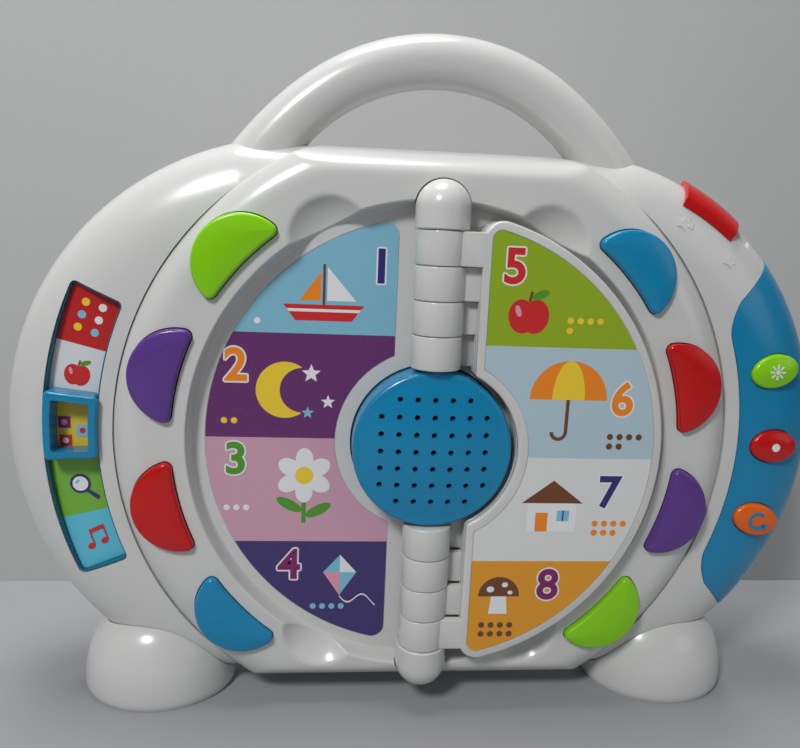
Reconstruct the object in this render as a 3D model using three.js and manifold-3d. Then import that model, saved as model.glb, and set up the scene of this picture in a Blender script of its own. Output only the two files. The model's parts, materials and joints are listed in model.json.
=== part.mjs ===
// Talking picture book for small children: a moulded case like a small suitcase, with a carry
// handle, two feet, a round face with four stiff leaves on a spine, a speaker and eleven keys.
// Millimetres. X runs to the right, Y into the depth, Z up. The pieces are drawn about the centre
// of the round face, with the face plane at y = 0, and the last group sets the feet on z = 0.
import * as THREE from 'three';
import { mergeVertices } from 'three/addons/utils/BufferGeometryUtils.js';
import Module from 'manifold-3d';

const wasm = await Module();
wasm.setup();

// Clearances and walls
const gap = 0.3;
const keyGap = 0.4;
const wall = 2.5;

// Case outline: two round lobes joined by a flat top and a flat bottom
const lobeRadius = 129.5;
const lobeOffset = 56;
const topTrim = 3.5;
const bottomTrim = 12.5;
const groundClearance = 8;
const bodyTop = lobeRadius - topTrim;
const bodyBottom = lobeRadius - bottomTrim;
const bodyHalfWidth = lobeOffset + lobeRadius;
const faceHeight = bodyBottom + groundClearance;

// Case depth, from the front of the side crescents to the back
const frontY = 5;
const partingY = 26;
const backY = 62;
const frontRound = 34;
const backRound = 26;
const roundPower = 2.3;
const lobeSteps = 16;

// Handle, a round tube on an arc
const handleArcRadius = 86.3;
const handleArcDrop = 49.1;
const handleArcZ = bodyTop - handleArcDrop;
const handleTubeRadius = 11.2;

// Round face: a land with the keys around a sunk page bed
const seamOverLobe = 6.9;
const faceRollWidth = 10.4;
const faceLandWidth = 31.4;
const lipSlope = 2;
const seamRadius = lobeRadius + seamOverLobe;
const faceFlatRadius = seamRadius - faceRollWidth;
const lipRadius = seamRadius - faceLandWidth;
const bedRadius = lipRadius - lipSlope;
const faceRound = 16;
const faceBackY = 18;
const bedY = 8;
const faceSteps = 48;
const dishX = 46;
const dishInset = 17;
const dishZ = lipRadius - dishInset;
const dishRadius = 17;
const dishDepth = 7.6;

// Leaves and spine
const leafCount = 4;
const leafPitch = 4;
const leafThickness = 3.7;
const leafStackFrontY = -7.9;
const leafClearance = 2;
const leafRadius = bedRadius - leafClearance;
const leafEdgeX = 16.5;
const leafCutRadius = 37;
const leafCorner = 8;
const knuckleRadius = 10.8;
const knuckleStartZ = 35;
const capRadius = 11.5;
const capStraight = 9;
const capTopGap = 12.5;
const capEndZ = bodyTop - capTopGap;
const spineEndZ = capEndZ - capRadius - capStraight;
const knucklePitch = (spineEndZ - knuckleStartZ) / leafCount;
const pinRadius = 2.5;

// Printed films
const filmThickness = 0.35;
const filmPocket = 0.4;
const leafFilmInset = 4;
const leafFilmEdgeX = 20;
const leafFilmCutRadius = 41.5;
const bedFilmInset = 5;
const bedFilmRadius = bedRadius - bedFilmInset;
const bedFilmEdgeX = 17;
const bedFilmCutRadius = 42;

// Speaker
const speakerRadius = 34.5;
const speakerHoleRadius = 36.9;
const speakerRimY = -6.5;
const speakerDome = 3;
const speakerWall = 2.2;
const speakerHolePitch = 7.5;
const speakerHoleRadiusSmall = 1.15;
const speakerHoleRows = [5, 7, 7, 7, 7, 7, 5];
const magnetRadius = 16;
const magnetFrontY = 13;
const magnetBackY = 21;

// Half-moon keys
const keyLand = 6.3;
const keyChordRadius = lipRadius + keyLand;
const keyRadius = 20.5;
const keyReach = keyChordRadius + keyRadius / 2;
const keyTipRadius = 3;
const keyProud = 3.2;
const keyTravel = 2.2;
const keyAngles = [43.1, 14.7, -14.7, -43.1];
const keyTabHalf = 22.8;
const keyTabInset = 4.3;
const keyTabDepth = 12.7;
const keyFlange = 1.5;

// Oval keys on the side panel
const ovalInset = 25.5;
const ovalRadius = bodyHalfWidth - ovalInset;
const ovalHalfLong = 10.9;
const ovalHalfShort = 7.65;
const ovalAngles = [13.2, 0.5, -12.4];
const ovalProud = 2.4;

// Side panel
const panelLand = 6.9;
const panelInnerRadius = seamRadius + panelLand;
const panelHalfAngle = 42;
const panelBulgeAngle = 22;
const panelKneeInset = 24.5;
const panelOverrun = 12;
const panelThickness = 1;
const panelProud = 0.4;

// Mode slider
const windowLand = 5.9;
const windowEdgeInset = 19.9;
const windowInner = seamRadius + windowLand;
const windowOuter = bodyHalfWidth - windowEdgeInset;
const windowTopAngle = 156.1;
const windowBottomAngle = 202.8;
const modeTrayY = 11.2;
const modeTrayThickness = 2;
const modeKnobAngle = 178;
const modeKnobHalfAngle = 5.3;
const modeKnobLap = 0.3;
const modeKnobProud = 3.5;
const modeKnobFrame = 4.5;

// Power and volume slide
const switchAngle = 58.5;
const switchHalfAngle = 7.4;
const switchTravelDeg = 8;
const switchGap = 0.5;
const switchThickness = 2;
const switchFrontY = 9;
const switchStemHalfAngle = 3;
const switchStemY = [13, 18];
const switchSlotGap = 0.4;
const switchCatchLap = 1.4;

// Feet
const footInset = 63.5;
const footX = bodyHalfWidth - footInset;
const footHalfX = 35;
const footHalfY = 30;
const footCentreY = 25;
const footHeight = 40;
const footPower = 2.6;

// Electronics and battery bay
const boardThickness = 1.6;
const keypadThickness = 1.8;
const keyBoardY = 11.2;
const keyBoardHalfAngle = 51;
const sideBoardY = 21;
const postRadius = 2.5;
const batteryRadius = 7.25;
const batteryLength = 50.5;
const batteryPitch = 15;
const batteryCount = 3;
const batteryRowRise = 54.5;
const batteryRowZ = batteryRowRise - bodyBottom;
const bayWall = 2;
const contactThickness = 1.2;
const doorThickness = 2;
const doorRim = 2.5;
const screwFromFoot = 4;
const screwFromTop = 42;
const caseScrewX = footX - screwFromFoot;
const caseScrewZ = bodyTop - screwFromTop;
const screwShankRadius = 1.75;
const screwHeadRadius = 3.4;
const screwHeadHeight = 2.4;
const doorScrewHead = 1.1;
const screwDepth = 8;
const screwBossWall = 2.8;
const pilotDepth = 12;
const mainBoardWidth = 80;
const mainBoardHeight = 46;
const mainBoardZ = 40;
const mainBoardY = 40;
const chip = { radius: 9, height: 2, x: -12 };
const capacitor = { radius: 4, height: 9, x: 18, rise: 8 };
const socket = { halfWidth: 8, halfLength: 4, height: 4, x: 20, drop: 10 };
const solderDepth = 0.5;

// Solid maker: a closed geometry becomes a solid that can be joined and cut
function solid(geometry) {
  const bare = geometry.clone();
  bare.deleteAttribute('normal');
  bare.deleteAttribute('uv');
  const merged = mergeVertices(bare, 1e-4);
  const position = merged.getAttribute('position');
  const triVerts = Uint32Array.from(merged.index.array);
  const [a, b, c] = [new THREE.Vector3(), new THREE.Vector3(), new THREE.Vector3()];
  let volume = 0;
  for (let i = 0; i < triVerts.length; i += 3) {
    a.fromBufferAttribute(position, triVerts[i]);
    b.fromBufferAttribute(position, triVerts[i + 1]);
    c.fromBufferAttribute(position, triVerts[i + 2]);
    volume += a.dot(b.cross(c));
  }
  if (volume < 0) {
    for (let i = 0; i < triVerts.length; i += 3) {
      [triVerts[i + 1], triVerts[i + 2]] = [triVerts[i + 2], triVerts[i + 1]];
    }
  }
  const kept = [];
  for (let i = 0; i < triVerts.length; i += 3) {
    const [p, q, r] = triVerts.subarray(i, i + 3);
    if (p !== q && q !== r && r !== p) kept.push(p, q, r);
  }
  const vertProperties = Float32Array.from(position.array);
  return new wasm.Manifold(new wasm.Mesh({ numProp: 3, vertProperties, triVerts: Uint32Array.from(kept) }));
}

function geometryOf(body) {
  const mesh = body.getMesh();
  const geometry = new THREE.BufferGeometry();
  geometry.setAttribute('position', new THREE.BufferAttribute(Float32Array.from(mesh.vertProperties), 3));
  geometry.setIndex(new THREE.BufferAttribute(Uint32Array.from(mesh.triVerts), 1));
  geometry.computeVertexNormals();
  return geometry;
}

function join(...bodies) {
  return bodies.reduce((whole, next) => whole.add(next));
}

// Basic forms, all drawn about the centre of the face
function radians(degrees) {
  return THREE.MathUtils.degToRad(degrees);
}

function block(x0, x1, y0, y1, z0, z1) {
  const geometry = new THREE.BoxGeometry(x1 - x0, y1 - y0, z1 - z0);
  geometry.translate((x0 + x1) / 2, (y0 + y1) / 2, (z0 + z1) / 2);
  return solid(geometry);
}

// A body turned about the Y axis through (x, z); the profile holds [radius, y] pairs
function turned(profile, steps, x = 0, z = 0) {
  const points = profile.map(([r, y]) => new THREE.Vector2(r, y));
  const geometry = new THREE.LatheGeometry(points, steps);
  geometry.translate(x, 0, z);
  return solid(geometry);
}

function disc(radius, y0, y1, x = 0, z = 0, steps = 16) {
  return turned([[0, y0], [radius, y0], [radius, y1], [0, y1]], steps, x, z);
}

// An upright round bar along Z on the spine axis
function upright(radius, z0, z1, steps = 14) {
  const geometry = new THREE.CylinderGeometry(radius, radius, z1 - z0, steps);
  geometry.rotateX(Math.PI / 2);
  geometry.translate(0, 0, (z0 + z1) / 2);
  return solid(geometry);
}

// A flat shape in X and Z, extruded along Y from y0 to y1
function prism(shape, y0, y1, curveSegments = 12) {
  const geometry = new THREE.ExtrudeGeometry(shape, { depth: y1 - y0, bevelEnabled: false, curveSegments });
  geometry.rotateX(Math.PI / 2);
  geometry.translate(0, y1, 0);
  return solid(geometry);
}

// Rings of equally many points, each [[x, y, z], ...], skinned and closed at both ends
function skin(rings) {
  const count = rings[0].length;
  const positions = rings.flat(2);
  const index = [];
  for (let k = 0; k + 1 < rings.length; k += 1) {
    for (let i = 0; i < count; i += 1) {
      const j = (i + 1) % count;
      const [p, q, r, s] = [k * count + i, k * count + j, (k + 1) * count + j, (k + 1) * count + i];
      index.push(p, q, r, p, r, s);
    }
  }
  const ends = [[rings[0], 0, true], [rings[rings.length - 1], (rings.length - 1) * count, false]];
  for (const [ring, start, flipped] of ends) {
    const centre = positions.length / 3;
    for (let axis = 0; axis < 3; axis += 1) {
      positions.push(ring.reduce((sum, point) => sum + point[axis], 0) / count);
    }
    for (let i = 0; i < count; i += 1) {
      const j = (i + 1) % count;
      if (flipped) index.push(centre, start + j, start + i);
      else index.push(centre, start + i, start + j);
    }
  }
  const geometry = new THREE.BufferGeometry();
  geometry.setAttribute('position', new THREE.BufferAttribute(Float32Array.from(positions), 3));
  geometry.setIndex(index);
  return solid(geometry);
}

// A part of a flat ring about (x, 0), between two radii and two angles
function sector(inner, outer, from, to, x = 0) {
  const shape = new THREE.Shape();
  shape.absarc(x, 0, outer, radians(from), radians(to), false);
  shape.absarc(x, 0, inner, radians(to), radians(from), true);
  shape.closePath();
  return shape;
}

// Case form: outlines inset step by step towards the front and the back
function caseOutline(inset) {
  const radius = lobeRadius - inset;
  const low = Math.asin((bodyBottom - inset) / radius);
  const high = Math.asin((bodyTop - inset) / radius);
  const points = [];
  for (let side = 0; side < 2; side += 1) {
    for (let i = 0; i <= lobeSteps; i += 1) {
      const share = side === 0 ? i / lobeSteps : 1 - i / lobeSteps;
      const angle = -low + (high + low) * share;
      const sign = side === 0 ? 1 : -1;
      points.push([sign * (lobeOffset + radius * Math.cos(angle)), radius * Math.sin(angle)]);
    }
  }
  return points;
}

function caseForm(offset, front = frontY, round = frontRound) {
  const rings = [];
  const addRings = (depth, edge, share, direction) => {
    const quarter = (share * Math.PI) / 2;
    const inset = offset + (edge - offset) * (1 - Math.cos(quarter) ** (2 / roundPower));
    const y = partingY + direction * depth * Math.sin(quarter) ** (2 / roundPower);
    rings.push(caseOutline(inset).map(([x, z]) => [x, y, z]));
  };
  for (const share of [1, 0.8, 0.6, 0.4, 0.2]) {
    addRings(partingY - front - offset, round, share, -1);
  }
  for (const share of [0, 0.33, 0.67, 1]) addRings(backY - offset - partingY, backRound, share, 1);
  return skin(rings);
}

const everything = 400;
const caseOuter = caseForm(0);
const caseInner = caseForm(wall);
const frontHalf = block(-everything, everything, -everything, partingY, -everything, everything);
const backHalf = block(-everything, everything, partingY, everything, -everything, everything);

// Handle: a hollow tube on an arc, kept above the case wall
function handleTube() {
  const bore = handleTubeRadius - wall;
  const circle = (radius) => {
    const profile = [];
    for (let i = 0; i < 12; i += 1) {
      const angle = (i * Math.PI) / 6;
      profile.push([handleArcRadius + radius * Math.cos(angle), partingY + radius * Math.sin(angle)]);
    }
    profile.push(profile[0]);
    return turned(profile, 40, 0, handleArcZ);
  };
  const keep = block(-everything, everything, -everything, everything, bodyTop - 6, everything);
  return circle(handleTubeRadius).intersect(keep).subtract(circle(bore)).subtract(caseInner);
}

const handle = handleTube();

// Half-moon outline about the face centre at angle 0, grown or shrunk all round
function halfMoonPoints(grow) {
  const chord = keyChordRadius - grow;
  const outer = keyRadius + grow;
  const tip = keyTipRadius + grow;
  const arm = chord + tip;
  const reach = outer - tip;
  const tipX = (arm ** 2 - reach ** 2 + keyChordRadius ** 2) / (2 * keyChordRadius);
  const tipZ = Math.sqrt(arm ** 2 - tipX ** 2);
  const innerAngle = Math.atan2(tipZ, tipX);
  const outerAngle = Math.atan2(tipZ, tipX - keyChordRadius);
  const points = [];
  const arc = (x, z, radius, from, to, steps, skipLast) => {
    for (let i = 0; i <= steps - skipLast; i += 1) {
      const angle = from + ((to - from) * i) / steps;
      points.push([x + radius * Math.cos(angle), z + radius * Math.sin(angle)]);
    }
  };
  arc(keyChordRadius, 0, outer, -outerAngle, outerAngle, 9, 1);
  arc(tipX, tipZ, tip, outerAngle, innerAngle + Math.PI, 3, 1);
  arc(0, 0, chord, innerAngle, -innerAngle, 3, 1);
  arc(tipX, -tipZ, tip, -innerAngle - Math.PI, -outerAngle, 3, 1);
  return points;
}

function ovalPoints(grow) {
  const points = [];
  for (let i = 0; i < 16; i += 1) {
    const angle = (i * Math.PI) / 8;
    const x = ovalRadius + (ovalHalfLong + grow) * Math.cos(angle);
    points.push([x, (ovalHalfShort + grow) * Math.sin(angle)]);
  }
  return points;
}

// A cap with a rounded front edge: layers hold [grow, y] pairs
function layered(outline, layers) {
  return skin(layers.map(([grow, y]) => outline(grow).map(([x, z]) => [x, y, z])));
}

function rotated(body, degrees) {
  return body.rotate([0, -degrees, 0]);
}

// Round face: a drum with a sunk page bed, a spine channel, key openings and finger dishes
const spineChannelHalf = capRadius + 1;
const spineChannelY = capRadius + gap;
const dishSphereRadius = (dishRadius ** 2 + dishDepth ** 2) / (2 * dishDepth);
const faceOuterRadius = seamRadius - gap;
const bezelFront = -1;

function dishes(grow) {
  const parts = [];
  for (const x of [-dishX, dishX]) {
    for (const z of [-dishZ, dishZ]) {
      const ball = new THREE.SphereGeometry(dishSphereRadius + grow, 20, 12);
      ball.rotateX(Math.PI / 2);
      ball.translate(x, dishDepth - dishSphereRadius, z);
      parts.push(solid(ball));
    }
  }
  return join(...parts);
}

function faceBezel() {
  const drum = turned([
    [0, bedY], [bedRadius, bedY], [lipRadius, 0.6], [lipRadius + 1.2, 0], [faceFlatRadius, 0],
    [faceFlatRadius + 5, 0.9], [faceOuterRadius - 1.8, 2.9], [faceOuterRadius, frontY + 1.2],
    [faceOuterRadius, faceBackY], [0, faceBackY],
  ], faceSteps).intersect(caseForm(0, bezelFront, faceRound));
  const floorBack = bedY + wall;
  const hollowEnd = faceBackY + 1;
  const channelEnd = capEndZ + 1;
  const hollow = turned([
    [0, floorBack], [lipRadius + 3, floorBack], [lipRadius + 3, wall], [faceFlatRadius, wall],
    [faceOuterRadius - wall, frontY + wall + 1], [faceOuterRadius - wall, hollowEnd], [0, hollowEnd],
  ], faceSteps)
    .intersect(caseForm(wall, bezelFront, faceRound))
    .subtract(block(
      -spineChannelHalf - wall, spineChannelHalf + wall, -1, spineChannelY + wall,
      -channelEnd - wall, channelEnd + wall,
    ))
    .subtract(dishes(wall));
  const channel = block(
    -spineChannelHalf, spineChannelHalf, -10, spineChannelY, -channelEnd, channelEnd,
  );
  let bezel = drum.subtract(hollow).subtract(channel).subtract(dishes(0));
  bezel = bezel.subtract(disc(speakerHoleRadius, -10, everything, 0, 0, 32));
  const keyHole = layered(halfMoonPoints, [[keyGap, -5], [keyGap, 12]]);
  for (const angle of keyAngles) {
    bezel = bezel.subtract(rotated(keyHole, angle)).subtract(rotated(keyHole, 180 - angle));
  }
  for (const side of [0, 180]) {
    for (const angle of keyPostAngles()) {
      const [x, z] = polar(keyReach, side + angle);
      bezel = bezel.add(disc(postRadius, wall - 0.5, keyBoardY, x, z, 8));
    }
  }
  for (const sign of [-1, 1]) {
    const pocket = prism(filmShape(
      bedFilmRadius + gap, bedFilmEdgeX - gap, bedFilmCutRadius - gap, sign,
    ), bedY - 1, bedY + filmPocket, 10);
    bezel = bezel.subtract(pocket);
  }
  return bezel;
}

function polar(radius, degrees) {
  return [radius * Math.cos(radians(degrees)), radius * Math.sin(radians(degrees))];
}

// Board posts stand midway between the keys
function keyPostAngles() {
  const angles = [];
  for (let i = 0; i + 1 < keyAngles.length; i += 1) angles.push((keyAngles[i] + keyAngles[i + 1]) / 2);
  return angles;
}

// Page outline on one side of the spine: an outer arc, a straight spine edge, a speaker cut-out
function pageShape(radius, edgeX, cutRadius, corner, sign) {
  const centreX = edgeX + corner;
  const centreZ = Math.sqrt((radius - corner) ** 2 - centreX ** 2);
  const cornerAngle = Math.atan2(centreZ, centreX);
  const cutAngle = Math.acos(edgeX / cutRadius);
  const shape = new THREE.Shape();
  const points = [];
  const arc = (x, z, r, from, to, steps) => {
    for (let i = 0; i <= steps; i += 1) {
      const angle = from + ((to - from) * i) / steps;
      points.push(new THREE.Vector2(sign * (x + r * Math.cos(angle)), z + r * Math.sin(angle)));
    }
  };
  arc(centreX, centreZ, corner, Math.PI, cornerAngle, 2);
  arc(0, 0, radius, cornerAngle, -cornerAngle, 16);
  arc(centreX, -centreZ, corner, -cornerAngle, -Math.PI, 2);
  arc(0, 0, cutRadius, -cutAngle, cutAngle, 9);
  const unique = points.filter((point, i) => point.distanceTo(points[(i + 1) % points.length]) > 0.01);
  shape.setFromPoints(unique);
  return shape;
}

function filmShape(radius, edgeX, cutRadius, sign) {
  return pageShape(radius, edgeX, cutRadius, leafCorner - leafFilmInset, sign);
}

// Leaves: plate, two knuckles with straps, and a pocket for the film on each face
function leafFrontY(i) {
  return leafStackFrontY + i * leafPitch;
}

function pageLeaf(i) {
  const y0 = leafFrontY(i);
  const y1 = y0 + leafThickness;
  const plate = prism(pageShape(leafRadius, leafEdgeX, leafCutRadius, leafCorner, 1), y0, y1);
  const parts = [plate];
  const row = leafCount - 1 - i;
  const rowStart = knuckleStartZ + row * knucklePitch + gap / 2;
  const rowEnd = rowStart + knucklePitch - gap;
  for (const sign of [-1, 1]) {
    const [low, high] = sign > 0 ? [rowStart, rowEnd] : [-rowEnd, -rowStart];
    parts.push(upright(knuckleRadius, low, high));
    parts.push(block(knuckleRadius / 2, leafEdgeX + 1, y0, y1, low, high));
  }
  let leaf = join(...parts).subtract(upright(pinRadius + gap, -everything, everything, 10));
  const pocket = filmShape(
    leafRadius - leafFilmInset + gap, leafFilmEdgeX - gap, leafFilmCutRadius - gap, 1,
  );
  leaf = leaf.subtract(prism(pocket, y0 - 1, y0 + filmPocket, 10));
  return leaf.subtract(prism(pocket, y1 - filmPocket, y1 + 1, 10));
}

function leafFilm(y0) {
  const shape = filmShape(leafRadius - leafFilmInset, leafFilmEdgeX, leafFilmCutRadius, 1);
  return prism(shape, y0, y0 + filmThickness);
}

function spineCap(sign) {
  const profile = [];
  for (let i = 0; i <= 4; i += 1) {
    const angle = (i * Math.PI) / 8;
    profile.push([capRadius * Math.cos(angle), capStraight + capRadius * Math.sin(angle)]);
  }
  profile[4][0] = 0;
  const geometry = new THREE.LatheGeometry(
    [[0, gap / 2], [capRadius, gap / 2], ...profile].map(([r, h]) => new THREE.Vector2(r, h)), 16,
  );
  geometry.rotateX((sign * Math.PI) / 2);
  geometry.translate(0, 0, sign * spineEndZ);
  const bore = upright(pinRadius + gap, -spineEndZ - 6, spineEndZ + 6, 10);
  return solid(geometry).subtract(bore);
}

function spinePin(sign) {
  const [start, end] = [knuckleStartZ + 0.5, spineEndZ + 5.7];
  return upright(pinRadius, Math.min(sign * start, sign * end), Math.max(sign * start, sign * end), 10);
}

// Speaker grille and driver
function speakerGrille() {
  const rim = speakerRadius;
  const innerWall = rim - speakerWall;
  const domeEdge = rim - 1.5;
  const domeAt = (r) => speakerRimY - speakerDome * (1 - (r / domeEdge) ** 2);
  const flangeY = spineChannelY + wall + gap;
  const outer = [0, 0.5, 0.82, 1].map((share) => [share * domeEdge, domeAt(share * domeEdge)]);
  const inner = [1, 0.5, 0].map((share) => [share * innerWall, domeAt(share * innerWall) + speakerWall]);
  let grille = turned([
    ...outer, [rim - 0.3, speakerRimY + 0.8], [rim, speakerRimY + 2],
    [rim, flangeY], [rim + 4.5, flangeY], [rim + 4.5, flangeY + 2], [innerWall, flangeY + 2], ...inner,
  ], 32);
  speakerHoleRows.forEach((count, row) => {
    for (let i = 0; i < count; i += 1) {
      const x = (i - (count - 1) / 2) * speakerHolePitch;
      const z = ((speakerHoleRows.length - 1) / 2 - row) * speakerHolePitch;
      grille = grille.subtract(disc(speakerHoleRadiusSmall, -20, 0, x, z, 6));
    }
  });
  return grille;
}

function speakerDriver() {
  const flange = speakerRadius - speakerWall - gap;
  return turned([
    [0, 4], [8, 4], [flange - 4, 0.4], [flange - 2, -1], [flange, -1], [flange, 1],
    [flange - 3, 1], [magnetRadius, magnetFrontY], [magnetRadius, magnetBackY], [0, magnetBackY],
  ], 20);
}

// Keys: a domed cap, two retaining tabs behind the face and a stem
function halfMoonKey() {
  const tabsY = wall + gap;
  const cap = layered(halfMoonPoints, [
    [-4, -keyProud], [-1.4, -keyProud + 0.4], [-0.3, -keyProud + 1.4], [0, 0], [0, tabsY + keyFlange],
  ]);
  const tabInner = lipRadius + keyTabInset;
  const tabs = block(tabInner, tabInner + keyTabDepth, tabsY, tabsY + keyFlange, -keyTabHalf, keyTabHalf);
  const stem = disc(5, tabsY, keyBoardY - keypadThickness - gap - keyTravel, keyChordRadius + 7, 0, 8);
  return join(cap, tabs, stem);
}

// The flange of an oval key follows the inside of the shell at the key's own angle
function ovalKey(angle) {
  const top = frontY - ovalProud;
  const flange = rotated(layered(ovalPoints, [[1.8, frontY], [1.8, sideBoardY - 8]]), angle);
  const cap = layered(ovalPoints, [[-3, top], [-1, top + 0.4], [0, top + 1.6], [0, sideBoardY - 9]]);
  const stem = disc(4, sideBoardY - 10, sideBoardY - keypadThickness - gap - keyTravel, ovalRadius, 0, 8);
  return join(rotated(cap, angle), rotated(stem, angle), flange.intersect(caseForm(wall + gap)));
}

function ovalHole(angle) {
  return rotated(layered(ovalPoints, [[keyGap, -5], [keyGap, 20]]), angle);
}

function ovalPostAngles() {
  return [(ovalAngles[0] + ovalAngles[1]) / 2, (ovalAngles[1] + ovalAngles[2]) / 2];
}

// Side panel outline: an inner arc about the face, two concave flanks and the case edge
function panelShape(grow) {
  const shape = new THREE.Shape();
  const edge = lobeRadius + panelOverrun;
  const inner = panelInnerRadius - grow;
  const half = panelHalfAngle + grow / 2;
  const onLobe = (radius, degrees) => {
    const [x, z] = polar(radius, degrees);
    return [lobeOffset + x, z];
  };
  const bulge = panelBulgeAngle;
  const [tipX, tipZ] = onLobe(edge, half);
  shape.moveTo(tipX, -tipZ);
  shape.absarc(lobeOffset, 0, edge, radians(-half), radians(half), false);
  const [kneeX, kneeZ] = onLobe(lobeRadius - panelKneeInset, half - 2);
  shape.lineTo(kneeX, kneeZ);
  const [startX, startZ] = polar(inner, bulge - 2);
  const [cornerX, cornerZ] = polar(inner, bulge + 1.5);
  shape.quadraticCurveTo(cornerX, cornerZ, startX, startZ);
  shape.absarc(0, 0, inner, radians(bulge - 2), radians(2 - bulge), true);
  shape.quadraticCurveTo(cornerX, -cornerZ, kneeX, -kneeZ);
  shape.closePath();
  return shape;
}

function sidePanel() {
  let panel = caseForm(-panelProud).subtract(caseForm(panelThickness));
  panel = panel.intersect(prism(panelShape(0), -20, partingY - gap, 16));
  for (const angle of ovalAngles) {
    panel = panel.subtract(ovalHole(angle));
  }
  return panel;
}

// Front shell: side crescents with the front half of the handle
function frontShell() {
  let shell = join(caseOuter.subtract(caseInner), handle).intersect(frontHalf);
  shell = shell.subtract(disc(seamRadius, -everything, faceBackY + gap, 0, 0, faceSteps));
  shell = shell.subtract(prism(
    sector(windowInner, windowOuter, windowTopAngle, windowBottomAngle), -20, 20, 8,
  ));
  const pocket = prism(panelShape(gap), -20, partingY - gap / 2, 16)
    .subtract(caseForm(panelThickness + gap));
  shell = shell.subtract(pocket);
  for (const angle of ovalAngles) {
    shell = shell.subtract(ovalHole(angle));
  }
  const slotHalf = switchStemHalfAngle + switchSlotGap;
  const [slotFrom, slotTo] = [switchAngle - slotHalf - switchTravelDeg, switchAngle + slotHalf];
  const slot = prism(
    sector(lobeRadius - frontRound, lobeRadius + panelOverrun, slotFrom, slotTo, lobeOffset),
    switchStemY[0] - switchSlotGap, switchStemY[1] + switchSlotGap, 6,
  );
  shell = shell.subtract(slot);
  const posts = ovalPostAngles().map((angle) => {
    const [x, z] = polar(ovalRadius, angle);
    return disc(postRadius, frontY, sideBoardY, x, z, 8);
  });
  for (const [x, z] of screwPlaces()) {
    posts.push(disc(screwShankRadius + screwBossWall, frontY, partingY, x, z, 8));
  }
  shell = shell.add(join(...posts).intersect(caseForm(panelThickness + gap + 0.2)));
  for (const [x, z] of screwPlaces()) {
    shell = shell.subtract(disc(screwShankRadius + gap, partingY - pilotDepth, partingY + 1, x, z, 8));
  }
  return shell;
}

function screwPlaces() {
  const places = [];
  for (const x of [-caseScrewX, caseScrewX]) {
    for (const z of [-caseScrewZ, caseScrewZ]) places.push([x, z]);
  }
  return places;
}

// Battery bay, open at the back, closed by a screwed door
const bayHalfX = batteryLength / 2 + 2 * gap + contactThickness;
const bayHalfZ = (batteryCount * batteryPitch) / 2 + 0.7;
const bayFloorY = backY - doorThickness - gap - 2 * batteryRadius - 0.5;
const doorScrewZ = batteryRowZ + bayHalfZ + 6.5;
const doorTopZ = doorScrewZ + 5;

function bayBlock(grow, y0, y1) {
  return block(
    -bayHalfX - grow, bayHalfX + grow, y0, y1,
    batteryRowZ - bayHalfZ - grow, batteryRowZ + bayHalfZ + grow,
  );
}

function doorBlock(grow, y0, y1) {
  return block(
    -bayHalfX - doorRim - grow, bayHalfX + doorRim + grow, y0, y1,
    batteryRowZ - bayHalfZ - doorRim - grow, doorTopZ + grow,
  );
}

function rearShell() {
  const headSeat = backY - screwDepth;
  let shell = join(caseOuter.subtract(caseInner), handle).intersect(backHalf);
  const doorBack = backY - doorThickness - gap;
  shell = join(
    shell,
    bayBlock(bayWall, bayFloorY - bayWall, backY - 1),
    doorBlock(bayWall, doorBack - bayWall, backY - 1).intersect(caseForm(1)),
    disc(screwShankRadius + screwBossWall, doorBack - 8, backY - 1, 0, doorScrewZ, 8),
  );
  for (const [x, z] of screwPlaces()) {
    shell = shell.add(disc(screwHeadRadius + 2.3, headSeat - 3, backY - 1, x, z, 8));
    shell = shell.add(disc(screwShankRadius + screwBossWall, partingY, backY - 1, x, z, 8));
  }
  for (const [x, z] of boardPosts()) {
    shell = shell.add(disc(3, mainBoardY + boardThickness, backY - 1, x, z, 8));
  }
  shell = shell.subtract(bayBlock(0, bayFloorY, everything)).subtract(doorBlock(gap, doorBack, everything));
  shell = shell.subtract(disc(screwShankRadius + gap, doorBack - 7, backY, 0, doorScrewZ, 8));
  for (const [x, z] of screwPlaces()) {
    shell = shell.subtract(disc(screwHeadRadius + gap, headSeat, everything, x, z, 8));
    shell = shell.subtract(disc(screwShankRadius + gap, -1, everything, x, z, 8));
  }
  return shell;
}

function boardPosts() {
  const places = [];
  for (const x of [-1, 1]) {
    for (const z of [-1, 1]) {
      places.push([x * (mainBoardWidth / 2 - 5), mainBoardZ + z * (mainBoardHeight / 2 - 5)]);
    }
  }
  return places;
}

function screw(headY, length, headHeight = screwHeadHeight) {
  return turned([
    [0, headY - length], [screwShankRadius, headY - length + 1], [screwShankRadius, headY],
    [screwHeadRadius, headY], [screwHeadRadius, headY + headHeight / 2],
    [screwHeadRadius - 0.6, headY + headHeight], [0, headY + headHeight],
  ], 8);
}

function battery() {
  const end = batteryLength / 2;
  const geometry = new THREE.LatheGeometry([
    [0, -end], [batteryRadius - 0.4, -end], [batteryRadius, -end + 0.4], [batteryRadius, end - 1.6],
    [batteryRadius - 0.4, end - 1.2], [2.7, end - 1.2], [2.7, end], [0, end],
  ].map(([r, h]) => new THREE.Vector2(r, h)), 12);
  geometry.rotateZ(-Math.PI / 2);
  return solid(geometry);
}

function batteryDoor() {
  const doorBack = backY - doorThickness;
  const plate = doorBlock(0, doorBack, backY);
  return plate
    .subtract(disc(screwShankRadius + gap, 0, everything, 0, doorScrewZ, 8))
    .subtract(disc(screwHeadRadius + gap, backY - doorScrewHead - 0.1, everything, 0, doorScrewZ, 8));
}

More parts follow.
